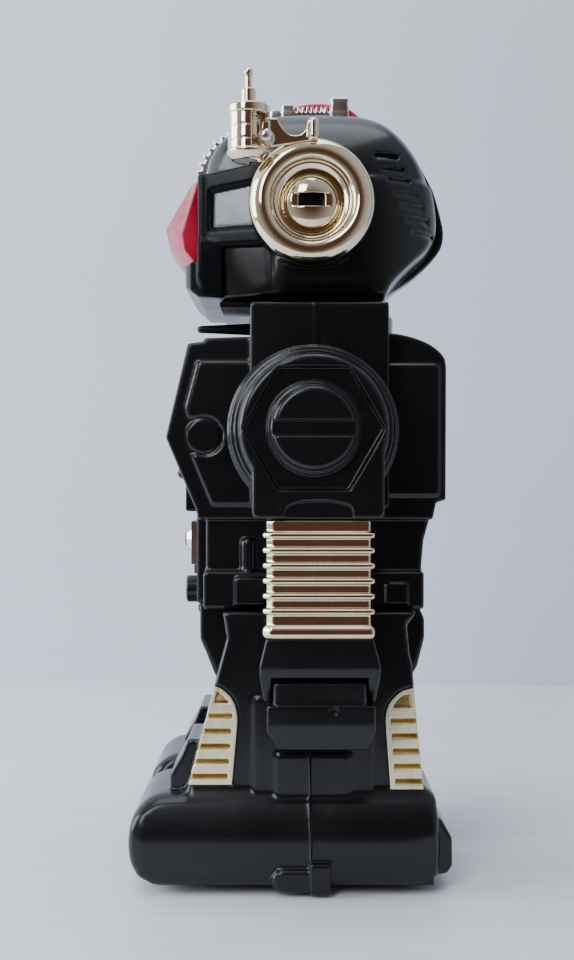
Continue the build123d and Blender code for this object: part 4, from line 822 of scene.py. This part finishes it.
# ---------------------------------------------------------------- legs
LEG_FRONT = [(-24.9, 103.0), (-23.4, 93.1), (-26.0, 83.6), (-27.9, 76.2), (-37.8, 38.7), (-38.4, 34.0)]
LEG_REAR = [(49.9, 34.0), (45.6, 83.6), (44.6, 87.2), (43.6, 97.9), (47.4, 103.0)]
FOOT_FRONT = [
    (-40.0, 37.2), (-48.0, 36.4), (-53.6, 33.0), (-58.0, 27.8), (-60.6, 19.6), (-59.6, 12.4), (-56.0, 6.6),
]
FOOT_REAR = [(50.0, 3.6), (55.4, 7.0), (56.0, 17.0), (54.4, 38.0), (50.0, 44.0)]
FOOT_TOP = 36.8
SHIN_ARC = [(-27.9, 75.6), (-24.8, 74.2), (-21.7, 71.2), (-19.9, 67.4), (-19.3, 62.8)]
CALF_ARC = [(46.1, 74.8), (41.4, 73.4), (37.6, 69.8), (35.9, 66.2), (35.5, 62.6)]
LEG_PARTING_Y = 7.6


def leg_form(room):
    """Left leg and foot in one, before they are parted."""
    leg = meet(room.side(LEG_FRONT + LEG_REAR), span(room.x, (12, 56)), r=1.6)
    leg = cut(leg, room.block((0, 26.3), (-60, 60), (63.7, 120), r=0.5))
    side = curve(FOOT_FRONT, 4) + [(-50.0, 3.6)] + FOOT_REAR + [(-40.0, 44.0)]
    plan = curve([(7, -52), (9.0, -58), (14, -60.8)]) + curve([(55, -60.8), (61.4, -59.4), (64, -54.5)])
    plan += [(64, 41.6), (62.8, 53.6), (60, 56.4), (12, 56.6), (7, 50)]
    edge = ((room.x - 57.0) * 10.6 + (room.z - 36.6) * 7.0) / 12.7
    inner_edge = ((11.0 - room.x) * 6.0 + (room.z - FOOT_TOP) * 4.0) / 7.2
    foot = meet(room.side(side), room.top(plan), r=3.0)
    foot = meet(foot, room.z - FOOT_TOP, edge, inner_edge, r=4.5)
    ankle = [(-45.0, 34.0), (-45.0, 41.2), (-40.7, 48.6), (-38.3, 54.4), (-25.0, 54.4), (-25.0, 34.0)]
    ankle = meet(room.side(ankle), span(room.x, (18, 50)), r=0.7)
    raised = room.side([(-13.8, 30), (-13.8, 71.8), (31.0, 71.8), (31.0, 30)], 2.6)
    raised = meet(raised, span(room.x, (50, 57.0)), r=1.1)
    panel = room.side([(-5.4, 30), (-5.4, 50.8), (22.4, 50.8), (22.4, 30)], 1.6)
    panel = meet(panel, span(room.x, (50, 57.9)), r=0.8)
    nose = np.hypot(room.z - 5.9, np.maximum(-2.4 - room.y, 0)) - 4.3
    boss = meet(nose, room.y - LEG_PARTING_Y, span(room.x, (55, 66.2)), r=1.8)
    boss_rear = room.block((55, 66.7), (LEG_PARTING_Y, 15.0), (0.8, 12.4), r=0.7)
    heel = room.side([(50.0, 27.0), (56.2, 26.4), (60.3, 19.0), (60.4, 9.0), (58.4, 6.0), (50.0, 5.0)], 0.8)
    heel = meet(heel, span(room.x, (16, 57)), r=1.2)
    form = join(join(leg, foot, r=3.4), ankle, r=0.8)
    form = join(form, raised, r=0.5)
    form = join(form, panel, boss, boss_rear, heel, r=0.6)
    near_seam = span(room.y, (LEG_PARTING_Y - 0.5, LEG_PARTING_Y + 0.5))
    form = join(form, meet(form - 0.3, near_seam, room.z - 54.0, r=0.1), r=0.2)
    under = room.block((10, 61), (-48, 50), (-5, 12), r=0.4)
    wheel_room = room.block((12, 58.4), (-14, 36), (0, 30), r=1.0)
    form = cut(form, under, wheel_room)
    for points in (vent_outline(SHIN_ARC, -1), vent_outline(CALF_ARC, 1)):
        form = cut(form, meet(room.side(points), 53.4 - room.x, r=0.1), r=0.2)
    return meet(form, 0.9 - room.z, r=0.1)


def vent_outline(arc, side):
    """Side view of a grille: an arched top, an upright inner edge and the leg's sloping outer edge."""
    foot = [(-21.4, 38.9), (-37.7, 38.9)] if side < 0 else [(37.4, 37.2), (49.7, 37.2)]
    return curve(arc) + foot


def make_legs():
    """Front and rear shells of both legs with their feet, cut from one form."""
    room = Room((6.5, -62, 0.5), (67.4, 61.4, 104), 0.8)
    whole = skin("leg", room, leg_form(room))
    for name, node, front in (("leg_shell_front", "leg_front", True), ("leg_shell_rear", "leg_rear", False)):
        pair(name, parted(whole, name, LEG_PARTING_Y, front), "black_plastic", ("trunk", "trunk"), node)


VENT_FACE, SLOT_PITCH, SLOTS = 56.8, 5.6, 5


def vent_form(room, arc, side):
    """Grille with five slots open towards the leg's edge and an arched recess above them."""
    points = vent_outline(arc, side)
    plate = meet(room.side(points), span(room.x, (52.0, VENT_FACE)), r=0.4)
    low_z = 41.9 if side < 0 else 40.1
    inner_low, inner_high = (-21.4, -19.4) if side < 0 else (37.4, 35.5)
    for row in range(SLOTS + 1):
        arched = row == SLOTS
        middle = low_z + SLOT_PITCH * row
        share = (middle - 38.0) / 25.0
        inner = inner_low + share * (inner_high - inner_low) + 1.9 * side
        height = 2.6 if arched else 1.15
        middle += 1.6 if arched else 0
        slot = meet(span(room.z, (middle - height, middle + height)), side * (inner - room.y), r=0.5)
        if arched:
            slot = meet(slot, room.side(points) + 1.4, r=0.4)
        depth = 2.2 * np.clip((room.z - middle + height + 0.4) / (2 * height), 0.3, 1)
        plate = cut(plate, meet(VENT_FACE - depth - room.x, slot, r=0.2), r=0.25)
    return plate


def make_vents():
    """Shin and calf grilles; the floors of their slots wear a darker gold that is painted shade."""
    for name, arc, side, y in (("shin", SHIN_ARC, -1, (-39, -18)), ("calf", CALF_ARC, 1, (34, 51))):
        room = Room((51.5, y[0], 36), (57.5, y[1], 77), 0.3)
        left = skin(name + "_grille_left", room, vent_form(room, arc, side))
        right = flipped(left, name + "_grille_right")
        for mesh, node in ((right, []), (left, [name + "_vents"])):
            piece(mesh.name, mesh, "cream_gold", "trunk", *node)
            # Faces set back from the grille's face take the darker gold: painted shade in the slots.
            mesh.materials.append(materials["shaded_slot_gold"])
            for face in mesh.polygons:
                face.material_index = int(abs(face.center.x) < (VENT_FACE - 0.6) * MM)


# ---------------------------------------------------------------- arms
ARM_BODIES = ("left_arm", "right_arm")


def make_upper_arm():
    """Shoulder drum with a hexagonal recess, the square upper arm under it, and a slotted round cap."""
    room = Room((65.9, -22.6, 137.5), (82.6, 39.6, 201), 0.5)
    drum = meet(room.tube_x(SHOULDER_Y, SHOULDER_Z, 30.0), room.x - 72.0, r=0.8)
    drum = join(drum, meet(room.tube_x(SHOULDER_Y, SHOULDER_Z, 28.4), room.x - 76.4, r=0.8), r=0.4)
    face = meet(room.tube_x(SHOULDER_Y, SHOULDER_Z, 26.6), room.x - 82.0, r=2.6)
    arm = room.side([(-13.3, 138.2), (-13.3, 175.0), (33.3, 175.0), (33.3, 138.2)], 2.6)
    arm = meet(arm, room.x - 82.0, r=1.4)
    form = meet(join(drum, face, arm, r=0.6), 66.4 - room.x, r=0.3)
    reach = 25.4
    hexagon = [(reach * math.cos(math.pi * k / 3), reach * math.sin(math.pi * k / 3)) for k in range(6)]
    recess = outline(room.y - SHOULDER_Y, room.z - SHOULDER_Z, hexagon) + (82.0 - room.x) * 0.5
    recess = meet(recess, 80.4 - room.x, -room.tube_x(SHOULDER_Y, SHOULDER_Z, 16.6), r=0.3)
    arch = [(-1.6, 138.0), (-1.2, 142.2), (3.0, 144.0), (10.3, 144.6)]
    arch += [(17.6, 144.0), (21.8, 142.2), (22.2, 138.0)]
    tongue = meet(room.side(curve(arch) + [(22.2, 130.0), (-1.6, 130.0)]), 81.0 - room.x, r=0.2)
    form = cut(form, recess, tongue, r=0.4)
    pair("shoulder_drum", skin("shoulder_drum", room, form), "black_plastic", ARM_BODIES, "upper_arm")

    room = Room((60, -24, 137.8), (67, 41, 202.5), 0.6)
    disc = meet(room.tube_x(SHOULDER_Y, SHOULDER_Z, 30.4), span(room.x, (60.4, 66.3)), r=0.4)
    flange = meet(room.tube_x(SHOULDER_Y, SHOULDER_Z, 31.6), span(room.x, (60.4, 63.2)), r=0.7)
    arm = room.side([(-13.2, 138.4), (-13.2, 175.0), (33.2, 175.0), (33.2, 138.4)], 2.6)
    arm = meet(arm, span(room.x, (60.4, 66.3)), r=0.6)
    back = skin("arm_back", room, join(disc, flange, arm, r=0.4))
    pair("arm_back", back, "black_plastic", ARM_BODIES, "arm_inner")

    room = Room((78.6, -9, 152), (85.8, 26, 188), 0.4)
    disc = meet(room.tube_x(SHOULDER_Y, SHOULDER_Z, 16.2), room.x - 82.9, r=0.5)
    dome = meet(room.tube_x(SHOULDER_Y, SHOULDER_Z, 15.0), room.x - 85.2, r=2.4)
    form = meet(join(disc, dome, r=0.3), 79.0 - room.x, r=0.2)
    along = (SHOULDER_Y - 14.7, SHOULDER_Y + 14.9)
    slot = room.block((83.6, 90), along, (SHOULDER_Z - 2.9, SHOULDER_Z + 2.7), r=0.3)
    knob = skin("shoulder_knob", room, cut(form, slot))
    pair("shoulder_knob", knob, "black_plastic", ARM_BODIES, "shoulder_cap")


FIRST_RIB_Z, RIB_PITCH = 105.7, 5.37


def make_bellows():
    """Forearm sleeve: flat bands between thin rounded ribs, with a heavy rib at the bottom."""
    room = Room((60.9, -11, 95), (82.9, 31.4, 139), 0.4)
    plan = [(63.0, -8.2), (63.0, 28.4), (80.6, 28.4), (80.6, -6.0), (78.6, -8.2)]
    form = meet(room.top(plan, 0.8), span(room.z, (96.2, 137.8)), r=0.4)
    collar = [(61.6, -9.6), (61.6, 29.9), (82.0, 29.9), (82.0, -7.0), (79.4, -9.6)]
    for row in range(6):
        middle = FIRST_RIB_Z + RIB_PITCH * row
        rib = meet(room.top(collar, 1.4), span(room.z, (middle - 1.1, middle + 1.1)), r=1.0)
        form = join(form, rib, r=0.5)
    form = join(form, meet(room.top(collar, 1.4), span(room.z, (95.8, 100.9)), r=2.2), r=0.5)
    pair("forearm_sleeve", skin("forearm_sleeve", room, form), "gold_plating", ARM_BODIES, "bellows")


def make_hands():
    """Fork of each wrist and the hand between its prongs."""
    room = Room((61, -11.5, 72), (80.4, 33, 97), 0.45)
    side = [
        (-8.4, 95.9), (-10.7, 86.2), (-10.7, 82.0), (-9.6, 74.4), (-9.0, 72.5), (-6.4, 72.5), (-6.4, 81.6),
        (27.7, 81.6), (27.7, 72.5), (30.4, 72.5), (31.0, 74.4), (32.1, 82.0), (32.1, 86.2), (29.6, 95.9),
    ]
    form = meet(room.side(side), span(room.x, (62.6, 79.4)), r=1.0)
    outer_lean = (room.x - 72.9) - (room.z - 73.0) * 0.58
    form = meet(form, outer_lean, r=0.8)
    pair("wrist_fork", skin("wrist_fork", room, form), "black_plastic", ARM_BODIES, "fork")

    room = Room((63, -10, 55), (79.5, 32, 82.4), 0.45)
    inner_round = np.hypot(np.minimum(room.x - 71.4, 0), np.maximum(room.z - 75.4, 0)) - 5.2
    knuckle = room.side([(-5.9, 68), (-5.9, 80.6), (27.3, 80.6), (27.3, 68)], 1.0)
    knuckle = meet(knuckle, span(room.x, (66.2, 77.2)), inner_round, r=1.6)
    palm = [(-8.1, 72.0), (-8.2, 62.4), (-4.4, 55.6), (27.4, 55.6), (30.4, 62.4), (30.4, 72.0)]
    palm_lean = (room.x - 77.8) * 0.92 - (room.z - 63.2) * 0.39
    palm = meet(room.side(palm, 1.2), span(room.x, (63.6, 77.8)), palm_lean, r=0.8)
    form = join(knuckle, palm, r=0.5)
    form = cut(form, meet(np.hypot(room.y - 15.6, room.z - 70.2) - 1.4, 76.6 - room.x, r=0.1), r=0.4)
    pair("hand_block", skin("hand_block", room, form), "black_plastic", ("left_hand", "right_hand"), "hand")


# ---------------------------------------------------------------- everything together
make_camera()
make_light()
make_stage()
materials = make_materials()
dress_cad_nodes()
make_helmet()
make_face()
make_visor()
make_crest()
make_ears()
make_antenna()
make_legs()
make_vents()
make_upper_arm()
make_bellows()
make_hands()
make_torso()
